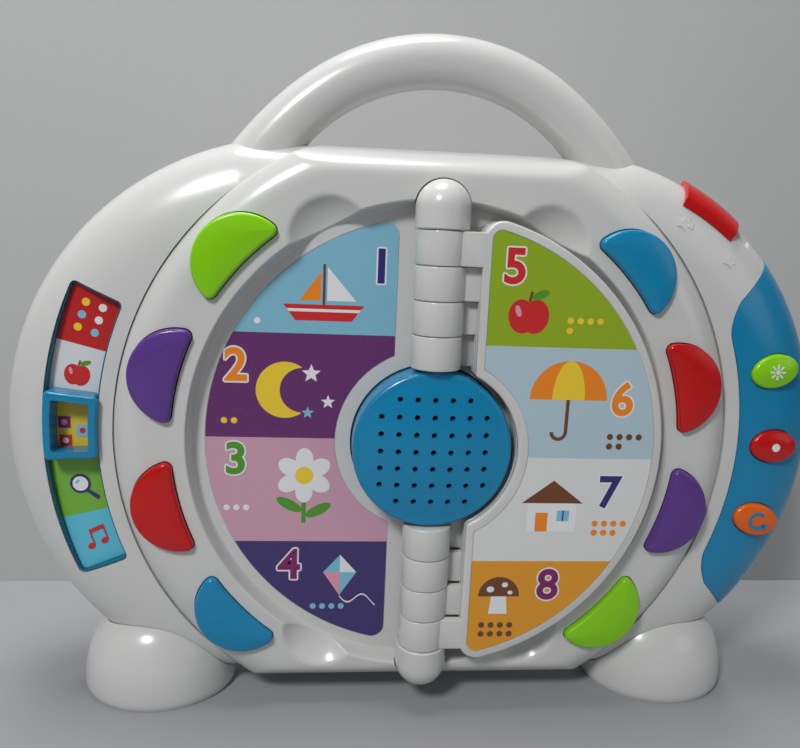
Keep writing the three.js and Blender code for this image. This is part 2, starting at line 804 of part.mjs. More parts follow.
function mainBoard() {
  const [halfX, halfZ] = [mainBoardWidth / 2, mainBoardHeight / 2];
  const y0 = mainBoardY;
  const seat = y0 + solderDepth;
  const socketZ = mainBoardZ - socket.drop;
  return join(
    block(-halfX, halfX, y0, y0 + boardThickness, mainBoardZ - halfZ, mainBoardZ + halfZ),
    disc(chip.radius, y0 - chip.height, seat, chip.x, mainBoardZ, 12),
    disc(capacitor.radius, y0 - capacitor.height, seat, capacitor.x, mainBoardZ + capacitor.rise, 12),
    block(
      socket.x - socket.halfWidth, socket.x + socket.halfWidth, y0 - socket.height, seat,
      socketZ - socket.halfLength, socketZ + socket.halfLength,
    ),
  );
}

// Arc-shaped boards and rubber pads behind the keys
function arcPlate(inner, outer, halfAngle, y0, y1, posts, postReach, holeRadius) {
  let plate = prism(sector(inner, outer, -halfAngle, halfAngle), y0, y1, 8);
  for (const angle of posts) {
    const [x, z] = polar(postReach, angle);
    plate = plate.subtract(disc(holeRadius, y0 - 1, y1 + 1, x, z, 8));
  }
  return plate;
}

function keyBoard() {
  return arcPlate(
    lipRadius + 5, faceOuterRadius - wall - 3.5, keyBoardHalfAngle, keyBoardY, keyBoardY + boardThickness,
    [], keyReach, 1,
  );
}

function keypad() {
  return arcPlate(
    lipRadius + 6, faceOuterRadius - wall - 5, keyBoardHalfAngle - 1, keyBoardY - keypadThickness,
    keyBoardY, keyPostAngles(), keyReach, postRadius + gap,
  );
}

function sideBoard() {
  return arcPlate(ovalRadius - 9, ovalRadius + 9, 19, sideBoardY, sideBoardY + boardThickness, [], 0, 1);
}

function sideKeypad() {
  return arcPlate(
    ovalRadius - 8, ovalRadius + 8, 18, sideBoardY - keypadThickness, sideBoardY,
    ovalPostAngles(), ovalRadius, postRadius + gap,
  );
}

// Mode slider: tray with a low rim in the window, printed strip and a square frame that slides
const modeRim = 1;

function modeTray() {
  const rimOuter = prism(sector(
    windowInner + gap, windowOuter - gap, windowTopAngle + 0.12, windowBottomAngle - 0.12,
  ), frontY - 1, modeTrayY + 0.5, 8);
  const rimInner = prism(sector(
    windowInner + gap + modeRim, windowOuter - gap - modeRim,
    windowTopAngle + 0.5, windowBottomAngle - 0.5,
  ), frontY - 2, modeTrayY, 8);
  const floor = prism(sector(
    windowInner - 1.5, windowOuter + 1.5, windowTopAngle - 0.8, windowBottomAngle + 0.8,
  ), modeTrayY, modeTrayY + modeTrayThickness, 8).intersect(caseForm(wall + gap));
  return rimOuter.intersect(caseForm(0.6)).subtract(rimInner).add(floor);
}

function modeStrip() {
  const edge = gap + modeRim + gap;
  return prism(sector(
    windowInner + edge, windowOuter - edge, windowTopAngle + 0.7, windowBottomAngle - 0.7,
  ), modeTrayY - filmThickness, modeTrayY, 8);
}

function modeKnob() {
  const edge = gap + modeRim + gap;
  const [from, to] = [modeKnobAngle - modeKnobHalfAngle, modeKnobAngle + modeKnobHalfAngle];
  const back = modeTrayY - filmThickness - gap;
  const body = prism(sector(windowInner + edge, windowOuter - edge, from, to), frontY - 2, back, 3);
  const topShape = sector(windowInner - modeKnobLap, windowOuter - edge, from, to);
  const top = prism(topShape, frontY - modeKnobProud, frontY - 0.4, 3);
  const [holeInner, holeOuter] = [windowInner + modeKnobFrame, windowOuter - modeKnobFrame - 0.5];
  const holeShape = sector(holeInner, holeOuter, from + 1.5, to - 1.5);
  const hole = prism(holeShape, -20, 20, 2);
  return join(body, top).subtract(hole);
}

// Power and volume slide: a saddle on the shoulder that follows the right lobe
function powerSwitch() {
  const part = (inset, outset, half, y0, y1) => caseForm(outset)
    .subtract(caseForm(inset))
    .intersect(prism(
      sector(lobeRadius - 12, lobeRadius + 10, switchAngle - half, switchAngle + half, lobeOffset), y0, y1, 6,
    ));
  const [stemFrontY, stemBackY] = switchStemY;
  const cap = part(-switchGap, -switchGap - switchThickness, switchHalfAngle, switchFrontY, partingY - wall);
  const stem = part(wall + 1.5, -switchGap - 0.5, switchStemHalfAngle, stemFrontY, stemBackY);
  const catchPlate = part(
    wall + 2, wall + gap + 0.2, switchStemHalfAngle + switchCatchLap,
    stemFrontY - switchCatchLap, stemBackY + switchCatchLap,
  );
  return join(cap, stem, catchPlate);
}

// Feet: domes on the floor, hollow above, that meet the case from below
function foot(sign) {
  const dome = (grow, bottom) => {
    const rings = [];
    const height = footHeight + grow;
    for (const share of [0, 0.12, 0.4, 0.65, 0.85, 0.96]) {
      const z = Math.max(share * height, bottom);
      const level = (1 - (z / height) ** footPower) ** (1 / footPower);
      const tuck = share === 0 ? 0.97 : 1;
      const ring = [];
      for (let i = 0; i < 20; i += 1) {
        const angle = (i * Math.PI) / 10;
        ring.push([
          sign * footX + (footHalfX + grow) * level * tuck * Math.cos(angle),
          footCentreY + (footHalfY + grow) * level * tuck * Math.sin(angle),
          z - faceHeight,
        ]);
      }
      rings.push(ring);
    }
    return skin(rings);
  };
  return dome(0, 0).subtract(dome(-3, 3)).subtract(caseForm(-gap));
}

// Materials, one for each kind of piece
function material(color, roughness, metalness = 0) {
  return new THREE.MeshStandardMaterial({ color, roughness, metalness });
}

const white = material(0xe6e6e4, 0.25);
const sky = material(0x0f86b4, 0.3);
const navy = material(0x1b3f66, 0.35);
const green = material(0x74b303, 0.3);
const purple = material(0x583686, 0.3);
const red = material(0xb00808, 0.3);
const blue = material(0x0d7ba8, 0.3);
const orange = material(0xd2570a, 0.3);
const film = material(0xc9c9c0, 0.4);
const steel = material(0x9a9a9a, 0.35, 1);
const board = material(0x1d6b3a, 0.5);
const rubber = material(0x8c8c88, 0.8);
const black = material(0x161616, 0.6);
const cell = material(0xb58a2e, 0.35, 0.6);

// Scene graph: everything hangs on one group that stands the feet on z = 0
const book = new THREE.Group();
const frontMost = Math.min(-capRadius, leafStackFrontY, speakerRimY - speakerDome, footCentreY - footHalfY);
book.position.set(0, -(frontMost + backY) / 2, faceHeight);

function place(name, body, look, rotationY = 0) {
  const mesh = new THREE.Mesh(geometryOf(body), look);
  mesh.name = name;
  mesh.rotation.y = rotationY;
  book.add(mesh);
  return mesh;
}

place('front_shell', frontShell(), white);
place('rear_shell', rearShell(), white);
place('face_bezel', faceBezel(), white);
place('side_panel', sidePanel(), sky);
place('foot_left', foot(-1), white);
place('foot_right', foot(1), white);
place('speaker_grille', speakerGrille(), sky);
place('speaker_driver', speakerDriver(), black);
place('spine_cap_top', spineCap(1), white);
place('spine_cap_bottom', spineCap(-1), white);
place('spine_pin_upper', spinePin(1), steel);
place('spine_pin_lower', spinePin(-1), steel);

// Leaves with their films
for (let i = 0; i < leafCount; i += 1) {
  const y0 = leafFrontY(i);
  place(`page_leaf_${i + 1}`, pageLeaf(i), white);
  place(`page_film_front_${i + 1}`, leafFilm(y0 + filmPocket - filmThickness), film);
  place(`page_film_back_${i + 1}`, leafFilm(y0 + leafThickness - filmPocket), film);
}
for (const [name, sign] of [['left', -1], ['right', 1]]) {
  const shape = filmShape(bedFilmRadius, bedFilmEdgeX, bedFilmCutRadius, sign);
  place(`bed_film_${name}`, prism(shape, bedY + filmPocket - filmThickness, bedY + filmPocket), film);
}

// Half-moon keys, top to bottom on each side
const leftColours = [green, purple, red, blue];
const rightColours = [blue, red, purple, green];
keyAngles.forEach((angle, i) => {
  place(`half_moon_left_${i + 1}`, halfMoonKey(), leftColours[i], -radians(180 - angle));
  place(`half_moon_right_${i + 1}`, halfMoonKey(), rightColours[i], -radians(angle));
});

// Oval keys, top to bottom
const ovalColours = [green, red, orange];
ovalAngles.forEach((angle, i) => place(`oval_key_${i + 1}`, ovalKey(angle), ovalColours[i]));

place('mode_track', modeTray(), navy);
place('mode_strip', modeStrip(), film);
place('mode_slider', modeKnob(), blue);
place('power_switch', powerSwitch(), red);

// Electronics
place('main_board', mainBoard(), board);
for (const [name, turn] of [['left', Math.PI], ['right', 0]]) {
  place(`key_board_${name}`, keyBoard(), board, turn);
  place(`keypad_${name}`, keypad(), rubber, turn);
}
place('side_key_board', sideBoard(), board);
place('side_keypad', sideKeypad(), rubber);

// Batteries and their door
const batteryY = bayFloorY + gap + batteryRadius;
for (let i = 0; i < batteryCount; i += 1) {
  const mesh = place(`battery_${i + 1}`, battery(), cell, i % 2 === 0 ? 0 : Math.PI);
  mesh.position.set(0, batteryY, batteryRowZ + ((batteryCount - 1) / 2 - i) * batteryPitch);
}
for (const [name, sign] of [['left', -1], ['right', 1]]) {
  const inner = batteryLength / 2 + gap;
  const [x0, x1] = [inner, inner + contactThickness].map((x) => sign * x).sort((a, b) => a - b);
  const contact = block(
    x0, x1, bayFloorY + gap, bayFloorY + gap + 12, batteryRowZ - bayHalfZ + 1, batteryRowZ + bayHalfZ - 1,
  );
  place(`battery_contact_${name}`, contact, steel);
}
place('battery_door', batteryDoor(), white);
const doorScrew = place('door_screw', screw(0, 7.5, doorScrewHead), steel);
doorScrew.position.set(0, backY - doorScrewHead - 0.05, doorScrewZ);
const caseScrewHeadY = backY - screwDepth + 0.05;
const caseScrewLength = caseScrewHeadY - partingY + pilotDepth - 2;
screwPlaces().forEach(([x, z], i) => {
  const mesh = place(`case_screw_${i + 1}`, screw(caseScrewHeadY, caseScrewLength), steel);
  mesh.position.set(x, 0, z);
});

export default book;
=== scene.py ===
"""Looks of the talking picture book: moulded case, turning leaves, printed films, keys and slides."""
import json
import logging
import math
from collections.abc import Callable, Sequence
from dataclasses import dataclass, field
from enum import Enum

import bmesh
import bpy
from mathutils import Matrix, Vector


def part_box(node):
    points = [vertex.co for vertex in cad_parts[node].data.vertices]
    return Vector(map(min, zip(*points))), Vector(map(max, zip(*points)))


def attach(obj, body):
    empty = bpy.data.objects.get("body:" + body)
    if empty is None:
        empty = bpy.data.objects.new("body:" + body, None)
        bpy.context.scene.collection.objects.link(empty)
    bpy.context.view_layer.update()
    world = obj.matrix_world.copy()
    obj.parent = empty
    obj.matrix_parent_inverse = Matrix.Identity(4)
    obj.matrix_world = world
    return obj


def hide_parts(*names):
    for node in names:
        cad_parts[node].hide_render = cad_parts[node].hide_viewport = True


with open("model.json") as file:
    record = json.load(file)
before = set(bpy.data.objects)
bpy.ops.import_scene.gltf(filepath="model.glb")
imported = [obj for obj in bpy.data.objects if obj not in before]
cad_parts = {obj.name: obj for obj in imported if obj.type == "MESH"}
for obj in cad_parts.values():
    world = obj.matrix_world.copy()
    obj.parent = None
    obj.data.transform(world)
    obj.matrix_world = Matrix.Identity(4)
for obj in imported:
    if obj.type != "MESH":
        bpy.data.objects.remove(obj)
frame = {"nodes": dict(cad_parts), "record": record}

Point2 = tuple[float, float]
Point3 = tuple[float, float, float]
Colour = tuple[float, float, float]
Layer = tuple[float, float]
Shape = tuple[str, list[Point2]]

log = logging.getLogger("picture_book")

MM = 0.001
INK_STEP = 0.012
GAP = 0.3
WALL = 2.5
FAR = 400.0
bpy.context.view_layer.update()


def face_centre() -> Vector:
    """Finds the middle of the round face, on the face plane, in the row frame.

    Returns:
        The point that every piece is drawn about, in metres.
    """
    low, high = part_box("speaker_grille")
    return Vector(((low.x + high.x) / 2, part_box("face_bezel")[0].y, (low.z + high.z) / 2))


CENTRE = face_centre()


class Cut(Enum):
    """How one solid changes another."""

    JOIN = "UNION"
    TAKE = "DIFFERENCE"
    KEEP = "INTERSECT"


class Value:
    """A number socket that takes part in Python expressions."""

    def __init__(self, tree: "NodeTree", socket: bpy.types.NodeSocket) -> None:
        """Wraps a socket of a tree."""
        self.tree = tree
        self.socket = socket

    def _math(self, operation: str, first: "Value | float", second: "Value | float") -> "Value":
        """Adds a Math node and returns its result."""
        return self.tree.maths(operation, first, second)

    def __add__(self, other: "Value | float") -> "Value":
        """Adds."""
        return self._math("ADD", self, other)

    def __radd__(self, other: float) -> "Value":
        """Adds to a plain number."""
        return self._math("ADD", other, self)

    def __sub__(self, other: "Value | float") -> "Value":
        """Subtracts."""
        return self._math("SUBTRACT", self, other)

    def __rsub__(self, other: float) -> "Value":
        """Subtracts from a plain number."""
        return self._math("SUBTRACT", other, self)

    def __mul__(self, other: "Value | float") -> "Value":
        """Multiplies."""
        return self._math("MULTIPLY", self, other)

    def __rmul__(self, other: float) -> "Value":
        """Multiplies a plain number."""
        return self._math("MULTIPLY", other, self)

    def __gt__(self, other: "Value | float") -> "Value":
        """Gives 1 where this is the larger, and 0 elsewhere."""
        return self._math("GREATER_THAN", self, other)


class NodeTree:
    """A node tree, with one method that adds any node."""

    def __init__(self, group: bpy.types.NodeTree) -> None:
        """Wraps a tree."""
        self.group = group

    def add(self, kind: str, settings: dict | None = None, **inputs: object) -> bpy.types.Node:
        """Adds a node.

        Args:
            kind: the node's type.
            settings: attributes that are set before the sockets.
            inputs: values or links of its sockets, with underscores for spaces.

        Returns:
            The new node.
        """
        node = self.group.nodes.new(kind)
        for key, value in (settings or {}).items():
            setattr(node, key, value)
        for key, value in inputs.items():
            self.feed(node.inputs[key.replace("_", " ")], value)
        return node

    def feed(self, socket: bpy.types.NodeSocket, value: object) -> None:
        """Links a socket to a value or another socket, or sets its number."""
        if isinstance(value, Value):
            value = value.socket
        if isinstance(value, bpy.types.NodeSocket):
            self.group.links.new(value, socket)
        else:
            socket.default_value = value

    def maths(self, operation: str, *terms: object) -> Value:
        """Adds a Math node on numbers or values and returns its result."""
        node = self.add("ShaderNodeMath", {"operation": operation})
        for socket, term in zip(node.inputs, terms):
            self.feed(socket, term)
        return Value(self, node.outputs[0])

    def blend(self, share: object, first: bpy.types.Node, second: bpy.types.Node) -> bpy.types.Node:
        """Mixes two shaders by a share."""
        node = self.add("ShaderNodeMixShader", Fac=share)
        self.feed(node.inputs[1], first.outputs[0])
        self.feed(node.inputs[2], second.outputs[0])
        return node


class ShaderTree(NodeTree):
    """A material's node tree."""

    def __init__(self, name: str) -> None:
        """Starts an empty material of that name."""
        self.material = bpy.data.materials.new(name)
        self.material.use_nodes = True
        super().__init__(self.material.node_tree)
        self.group.nodes.clear()

    def mix(self, share: "Value", first: object, second: object) -> bpy.types.NodeSocket:
        """Mixes two colours by a share and returns the colour socket."""
        node = self.add("ShaderNodeMix", {"data_type": "RGBA"})
        self.feed(node.inputs[0], share)
        self.feed(node.inputs[6], first)
        self.feed(node.inputs[7], second)
        return node.outputs[2]

    def noise(self, scale: float, detail: float = 3.0) -> Value:
        """Gives a noise value on Object coordinates."""
        place = self.add("ShaderNodeTexCoord").outputs["Object"]
        node = self.add("ShaderNodeTexNoise", Vector=place, Scale=scale, Detail=detail)
        return Value(self, node.outputs["Fac"])

    def axes(self) -> tuple[Value, Value, Value]:
        """Gives X, Y and Z of Object coordinates."""
        place = self.add("ShaderNodeTexCoord").outputs["Object"]
        split = self.add("ShaderNodeSeparateXYZ", Vector=place)
        return tuple(Value(self, socket) for socket in split.outputs)

    def bump(self, height: Value, strength: float, distance: float) -> bpy.types.NodeSocket:
        """Turns a height into a normal."""
        return self.add("ShaderNodeBump", Height=height, Strength=strength, Distance=distance).outputs[0]

    def surface(self, fixed: dict[str, float], **linked: object) -> bpy.types.Material:
        """Ends the tree in a Principled surface.

        Args:
            fixed: socket names with plain numbers.
            linked: sockets that a value or colour feeds.

        Returns:
            The finished material.
        """
        shader = self.add("ShaderNodeBsdfPrincipled", None, **linked)
        for key, value in fixed.items():
            shader.inputs[key].default_value = value
        self.add("ShaderNodeOutputMaterial", None, Surface=shader.outputs[0])
        return self.material


class GeometryTree(NodeTree):
    """A Geometry Nodes tree with named inputs."""

    def __init__(self, name: str, inputs: dict[str, float]) -> None:
        """Starts a tree.

        Args:
            name: the tree's name.
            inputs: named sizes and their values.
        """
        super().__init__(bpy.data.node_groups.new(name, "GeometryNodeTree"))
        self.values = inputs
        face = self.group.interface
        face.new_socket("Geometry", in_out="INPUT", socket_type="NodeSocketGeometry")
        self.keys = {}
        for key in inputs:
            socket = face.new_socket(key, in_out="INPUT", socket_type="NodeSocketFloat")
            self.keys[key] = socket.identifier
        face.new_socket("Geometry", in_out="OUTPUT", socket_type="NodeSocketGeometry")
        self.start = self.add("NodeGroupInput")
        self.end = self.add("NodeGroupOutput")

    def input(self, name: str) -> bpy.types.NodeSocket:
        """Gives a named input's socket."""
        return self.start.outputs[name]

    def finish(self, geometry: bpy.types.NodeSocket, material: bpy.types.Material | None) -> None:
        """Ends the tree in Realize Instances and Set Material."""
        real = self.add("GeometryNodeRealizeInstances", Geometry=geometry)
        last = self.add("GeometryNodeSetMaterial", Geometry=real.outputs[0])
        if material is not None:
            last.inputs["Material"].default_value = material
        self.feed(self.end.inputs[0], last.outputs[0])

    def grow(self, name: str) -> bpy.types.Object:
        """Runs the tree on a seed object and keeps the result as plain mesh."""
        seed = new_object(name, [(0, 0, 0), (1, 0, 0), (0, 0, 1)], [(0, 1, 2)])
        modifier = seed.modifiers.new("nodes", "NODES")
        modifier.node_group = self.group
        for key, value in self.values.items():
            modifier[self.keys[key]] = value
        return bake(seed)


def rgba(colour: Colour) -> tuple[float, float, float, float]:
    """Adds full opacity to a colour."""
    return (*colour, 1.0)


@dataclass(frozen=True)
class Moulding:
    """A glossy moulded plastic with slight flow marks, handling haze and a fine skin."""

    name: str
    colour: Colour
    roughness: float = 0.22
    coat: float = 0.12
    shift: float = 0.05
    haze: float = 0.1
    skin: float = 0.06

    def build(self) -> bpy.types.Material:
        """Makes the material."""
        tree = ShaderTree(self.name)
        cloud = tree.noise(9.0, 4.0)
        streak = tree.noise(55.0, 2.0)
        dull = tuple(c * (1 - self.shift) for c in self.colour)
        colour = tree.mix(cloud, rgba(dull), rgba(self.colour))
        rough = self.roughness + self.haze * (cloud * streak)
        normal = tree.bump(tree.noise(420.0, 2.0), self.skin, 0.0002)
        fixed = {"Coat Weight": self.coat, "Coat Roughness": 0.08, "IOR": 1.5}
        return tree.surface(fixed, Base_Color=colour, Roughness=rough, Normal=normal)


@dataclass(frozen=True)
class Bands:
    """A printed film in level bands, from the top down."""

    name: str
    colours: tuple[Colour, ...]
    edges: tuple[float, ...]

    def build(self) -> bpy.types.Material:
        """Makes the material; the edges are heights over the face centre in millimetres."""
        tree = ShaderTree(self.name)
        height = tree.axes()[2]
        colour: object = rgba(self.colours[-1])
        for edge, band in zip(reversed(self.edges), reversed(self.colours[:-1])):
            colour = tree.mix(height > CENTRE.z + edge * MM, colour, rgba(band))
        grain = tree.noise(900.0, 1.0)
        colour = tree.mix(0.06 * grain, colour, rgba((0.35, 0.35, 0.35)))
        fixed = {"Coat Weight": 0.1, "Coat Roughness": 0.2}
        rough = 0.34 + 0.1 * tree.noise(30.0)
        normal = tree.bump(tree.noise(160.0), 0.05, 0.0001)
        return tree.surface(fixed, Base_Color=colour, Roughness=rough, Normal=normal)


@dataclass(frozen=True)
class Fan:
    """A printed strip in cells that fan out around the face centre."""

    name: str
    colours: tuple[Colour, ...]
    step: float
    shift: float

    def build(self) -> bpy.types.Material:
        """Makes the material; cells run from the top down, each step degrees wide."""
        tree = ShaderTree(self.name)
        x, _, z = tree.axes()
        angle = tree.maths("ARCTAN2", z - CENTRE.z, CENTRE.x - x)
        count = len(self.colours)
        colour: object = rgba(self.colours[-1])
        for i in range(count - 2, -1, -1):
            edge = math.radians(self.step * (count / 2 - 1 - i) - self.shift)
            colour = tree.mix(angle > edge, colour, rgba(self.colours[i]))
        rough = 0.3 + 0.1 * tree.noise(60.0)
        normal = tree.bump(tree.noise(200.0), 0.05, 0.0001)
        return tree.surface({"Coat Weight": 0.3}, Base_Color=colour, Roughness=rough, Normal=normal)


@dataclass(frozen=True)
class Bare:
    """A plainly made inner surface: metal, rubber, board or cell wrap."""

    name: str
    colour: Colour
    roughness: float
    metallic: float = 0.0
    grain: float = 200.0

    def build(self) -> bpy.types.Material:
        """Makes the material."""
        tree = ShaderTree(self.name)
        grain = tree.noise(self.grain, 3.0)
        dark = tuple(c * 0.8 for c in self.colour)
        colour = tree.mix(grain, rgba(dark), rgba(self.colour))
        rough = self.roughness + 0.12 * grain
        normal = tree.bump(grain, 0.12, 0.0001)
        return tree.surface({"Metallic": self.metallic}, Base_Color=colour, Roughness=rough, Normal=normal)


class Paint(Enum):
    """Colours of the mouldings and of the printing inks."""

    WHITE = (0.59, 0.592, 0.575)
    SKY = (0.0, 0.22, 0.43)
    NAVY = (0.0, 0.12, 0.2)
    GREEN = (0.23, 0.6, 0.0)
    PURPLE = (0.1, 0.035, 0.24)
    RED = (0.52, 0.0, 0.0)
    ORANGE = (0.75, 0.12, 0.002)
    KNOB = (0.0, 0.21, 0.4)
    INK_WHITE = (0.78, 0.79, 0.8)
    INK_NAVY = (0.03, 0.02, 0.16)
    INK_PLUM = (0.2, 0.01, 0.12)
    INK_ORANGE = (0.85, 0.24, 0.01)
    INK_YELLOW = (0.85, 0.6, 0.03)
    INK_GREEN = (0.08, 0.3, 0.02)
    INK_RED = (0.6, 0.02, 0.02)
    INK_BROWN = (0.16, 0.05, 0.015)
    INK_SKY = (0.2, 0.5, 0.68)
    INK_PINK = (0.75, 0.3, 0.42)


class Finishes:
    """Every finish of the object, made once and looked up by name."""

    def __init__(self) -> None:
        """Builds the materials."""
        self.made: dict[str, bpy.types.Material] = {}
        mouldings = {
            "white_shell": Moulding("white_shell", Paint.WHITE.value, 0.2, 0.2, 0.03, 0.12, 0.05),
            "sky_plastic": Moulding("sky_plastic", Paint.SKY.value),
            "navy_plastic": Moulding("navy_plastic", Paint.NAVY.value),
            "green_key": Moulding("green_key", Paint.GREEN.value),
            "purple_key": Moulding("purple_key", Paint.PURPLE.value),
            "red_key": Moulding("red_key", Paint.RED.value),
            "orange_key": Moulding("orange_key", Paint.ORANGE.value),
            "slider_blue": Moulding("slider_blue", Paint.KNOB.value, 0.18),
        }
        bare = {
            "steel": Bare("steel", (0.55, 0.55, 0.56), 0.28, 1.0, 300.0),
            "board": Bare("board", (0.02, 0.16, 0.06), 0.45),
            "keypad_rubber": Bare("keypad_rubber", (0.25, 0.25, 0.24), 0.75),
            "speaker_black": Bare("speaker_black", (0.015, 0.015, 0.016), 0.6),
            "cell_case": Bare("cell_case", (0.5, 0.3, 0.06), 0.3, 0.6),
        }
        for key, finish in {**mouldings, **bare}.items():
            self.made[key] = finish.build()
        for paint in Paint:
            if paint.name.startswith("INK"):
                key = paint.name.lower()
                self.made[key] = Moulding(key, paint.value, 0.32, 0.08, 0.08, 0.1, 0.03).build()

    def __getitem__(self, key: str) -> bpy.types.Material:
        """Looks a finish up."""
        return self.made[key]


def new_object(name: str, points: Sequence[Point3], faces: Sequence[Sequence[int]]) -> bpy.types.Object:
    """Makes a mesh object from points in millimetres about the face centre.

    Args:
        name: the object's name.
        points: its points.
        faces: its faces as point numbers.

    Returns:
        The object, with doubles merged and its faces pointing out.
    """
    mesh = bpy.data.meshes.new(name)
    mesh.from_pydata([Vector(point) * MM + CENTRE for point in points], [], faces)
    shape = bmesh.new()
    shape.from_mesh(mesh)
    bmesh.ops.remove_doubles(shape, verts=shape.verts, dist=1e-6)
    bmesh.ops.recalc_face_normals(shape, faces=shape.faces)
    shape.to_mesh(mesh)
    shape.free()
    obj = bpy.data.objects.new(name, mesh)
    bpy.context.scene.collection.objects.link(obj)
    return obj


def skin(name: str, rings: Sequence[Sequence[Point3]], closed: bool = False) -> bpy.types.Object:
    """Skins rings of equally many points; both ends are closed unless the rings form a loop."""
    count = len(rings[0])
    points = [point for ring in rings for point in ring]
    faces = []
    spans = len(rings) if closed else len(rings) - 1
    for k in range(spans):
        base, top = k * count, ((k + 1) % len(rings)) * count
        for i in range(count):
            j = (i + 1) % count
            faces.append((base + i, base + j, top + j, top + i))
    if not closed:
        faces.append(tuple(range(count)))
        faces.append(tuple(range(len(points) - count, len(points))))
    return new_object(name, points, faces)


def turned(
    name: str, profile: Sequence[Layer], steps: int, x: float = 0.0, z: float = 0.0
) -> bpy.types.Object:
    """Turns a profile of [radius, y] pairs, from axis to axis, about the Y axis through (x, z)."""
    rings = []
    for radius, y in profile:
        ring = []
        for i in range(steps):
            angle = 2 * math.pi * i / steps
            ring.append((x + radius * math.cos(angle), y, z + radius * math.sin(angle)))
        rings.append(ring)
    points = [point for ring in rings for point in ring]
    faces = []
    for k in range(len(rings) - 1):
        for i in range(steps):
            j = (i + 1) % steps
            quad = (k * steps + i, k * steps + j, (k + 1) * steps + j, (k + 1) * steps + i)
            faces.append(quad)
    return new_object(name, points, faces)


def disc(
    name: str, radius: float, y0: float, y1: float, x: float = 0.0, z: float = 0.0, steps: int = 48
) -> bpy.types.Object:
    """Makes a short round bar along Y."""
    return turned(name, [(0, y0), (radius, y0), (radius, y1), (0, y1)], steps, x, z)


def prism(name: str, outline: Sequence[Point2], y0: float, y1: float) -> bpy.types.Object:
    """Extrudes an outline in X and Z along Y."""
    return skin(name, [[(x, y, z) for x, z in outline] for y in (y0, y1)])


def block(name: str, x: Point2, y: Point2, z: Point2) -> bpy.types.Object:
    """Makes a box between two corners."""
    outline = [(x[0], z[0]), (x[1], z[0]), (x[1], z[1]), (x[0], z[1])]
    return prism(name, outline, y[0], y[1])


def local(box: Sequence[Vector]) -> list[Vector]:
    """Turns a box's corners from metres to millimetres about the face centre."""
    return [(corner - CENTRE) / MM for corner in box]


def bake(obj: bpy.types.Object) -> bpy.types.Object:
    """Turns an object's modifiers into plain mesh."""
    bpy.context.view_layer.update()
    graph = bpy.context.evaluated_depsgraph_get()
    mesh = bpy.data.meshes.new_from_object(obj.evaluated_get(graph))
    obj.modifiers.clear()
    old = obj.data
    obj.data = mesh
    bpy.data.meshes.remove(old)
    mesh.name = obj.name
    return obj


def carve(obj: bpy.types.Object, cut: Cut, *tools: bpy.types.Object) -> bpy.types.Object:
    """Changes a solid by others, which are used up.

    Args:
        obj: the solid that changes.
        cut: what the tools do to it.
        tools: the other solids, one after another.

    Returns:
        The changed solid.
    """
    for tool in tools:
        modifier = obj.modifiers.new("carve", "BOOLEAN")
        modifier.operation = cut.value
        modifier.object = tool
        modifier.solver = "MANIFOLD"
        bake(obj)
        if not obj.data.polygons:
            log.warning("%s lost its faces to %s", obj.name, tool.name)
        bpy.data.objects.remove(tool)
    return obj


def soften(obj: bpy.types.Object, width: float, segments: int = 3, angle: float = 40.0) -> bpy.types.Object:
    """Rounds the sharp edges of a clean solid."""
    modifier = obj.modifiers.new("round", "BEVEL")
    modifier.width = width * MM
    modifier.segments = segments
    modifier.limit_method = "ANGLE"
    modifier.angle_limit = math.radians(angle)
    modifier.harden_normals = False
    return bake(obj)


def merge(name: str, objects: Sequence[bpy.types.Object]) -> bpy.types.Object:
    """Puts several objects' meshes, with their materials, in one new object."""
    shape = bmesh.new()
    mesh = bpy.data.meshes.new(name)
    for obj in objects:
        slots = []
        for material in obj.data.materials:
            if material.name not in mesh.materials:
                mesh.materials.append(material)
            slots.append(mesh.materials.find(material.name))
        start = len(shape.faces)
        shape.from_mesh(obj.data)
        shape.faces.ensure_lookup_table()
        for face in shape.faces[start:]:
            if slots:
                face.material_index = slots[face.material_index]
    shape.to_mesh(mesh)
    shape.free()
    for obj in objects:
        bpy.data.objects.remove(obj)
    joined = bpy.data.objects.new(name, mesh)
    bpy.context.scene.collection.objects.link(joined)
    return joined


def dress(
    obj: bpy.types.Object, material: bpy.types.Material | None, body: str, slot: str,
    *nodes: str, angle: float = 32.0,
) -> bpy.types.Object:
    """Finishes a piece: smooth shading, material, body and the nodes that it stands for.

    Args:
        obj: the piece.
        material: its finish, or None where the mesh already has its own.
        body: the body that it rides on.
        slot: the record's material slot, which is not used.
        nodes: CAD nodes that it replaces.
        angle: edges sharper than this stay sharp, in degrees.

    Returns:
        The piece.
    """
    if material is not None:
        obj.data.materials.clear()
        obj.data.materials.append(material)
    for polygon in obj.data.polygons:
        polygon.use_smooth = True
    obj.data.set_sharp_from_angle(angle=math.radians(angle))
    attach(obj, body)
    if nodes:
        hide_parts(*nodes)
    log.info("%s: %d faces on %s", obj.name, len(obj.data.polygons), body)
    return obj


def polar(radius: float, degrees: float, x: float = 0.0) -> Point2:
    """Gives a point at a radius and an angle about (x, 0)."""
    return (x + radius * math.cos(math.radians(degrees)), radius * math.sin(math.radians(degrees)))


def arc(
    x: float, z: float, radius: float, start: float, end: float, steps: int
) -> list[Point2]:
    """Gives points on an arc, with its angles in radians."""
    points = []
    for i in range(steps + 1):
        angle = start + (end - start) * i / steps
        points.append((x + radius * math.cos(angle), z + radius * math.sin(angle)))
    return points


def circle(radius: float, steps: int) -> list[Point2]:
    """Gives a full circle about zero, without a repeated point."""
    return arc(0, 0, radius, 0, 2 * math.pi, steps)[:-1]


def quarter(steps: int) -> list[float]:
    """Lists angles from zero to a right one, in radians."""
    return [math.pi / 2 * i / steps for i in range(steps + 1)]


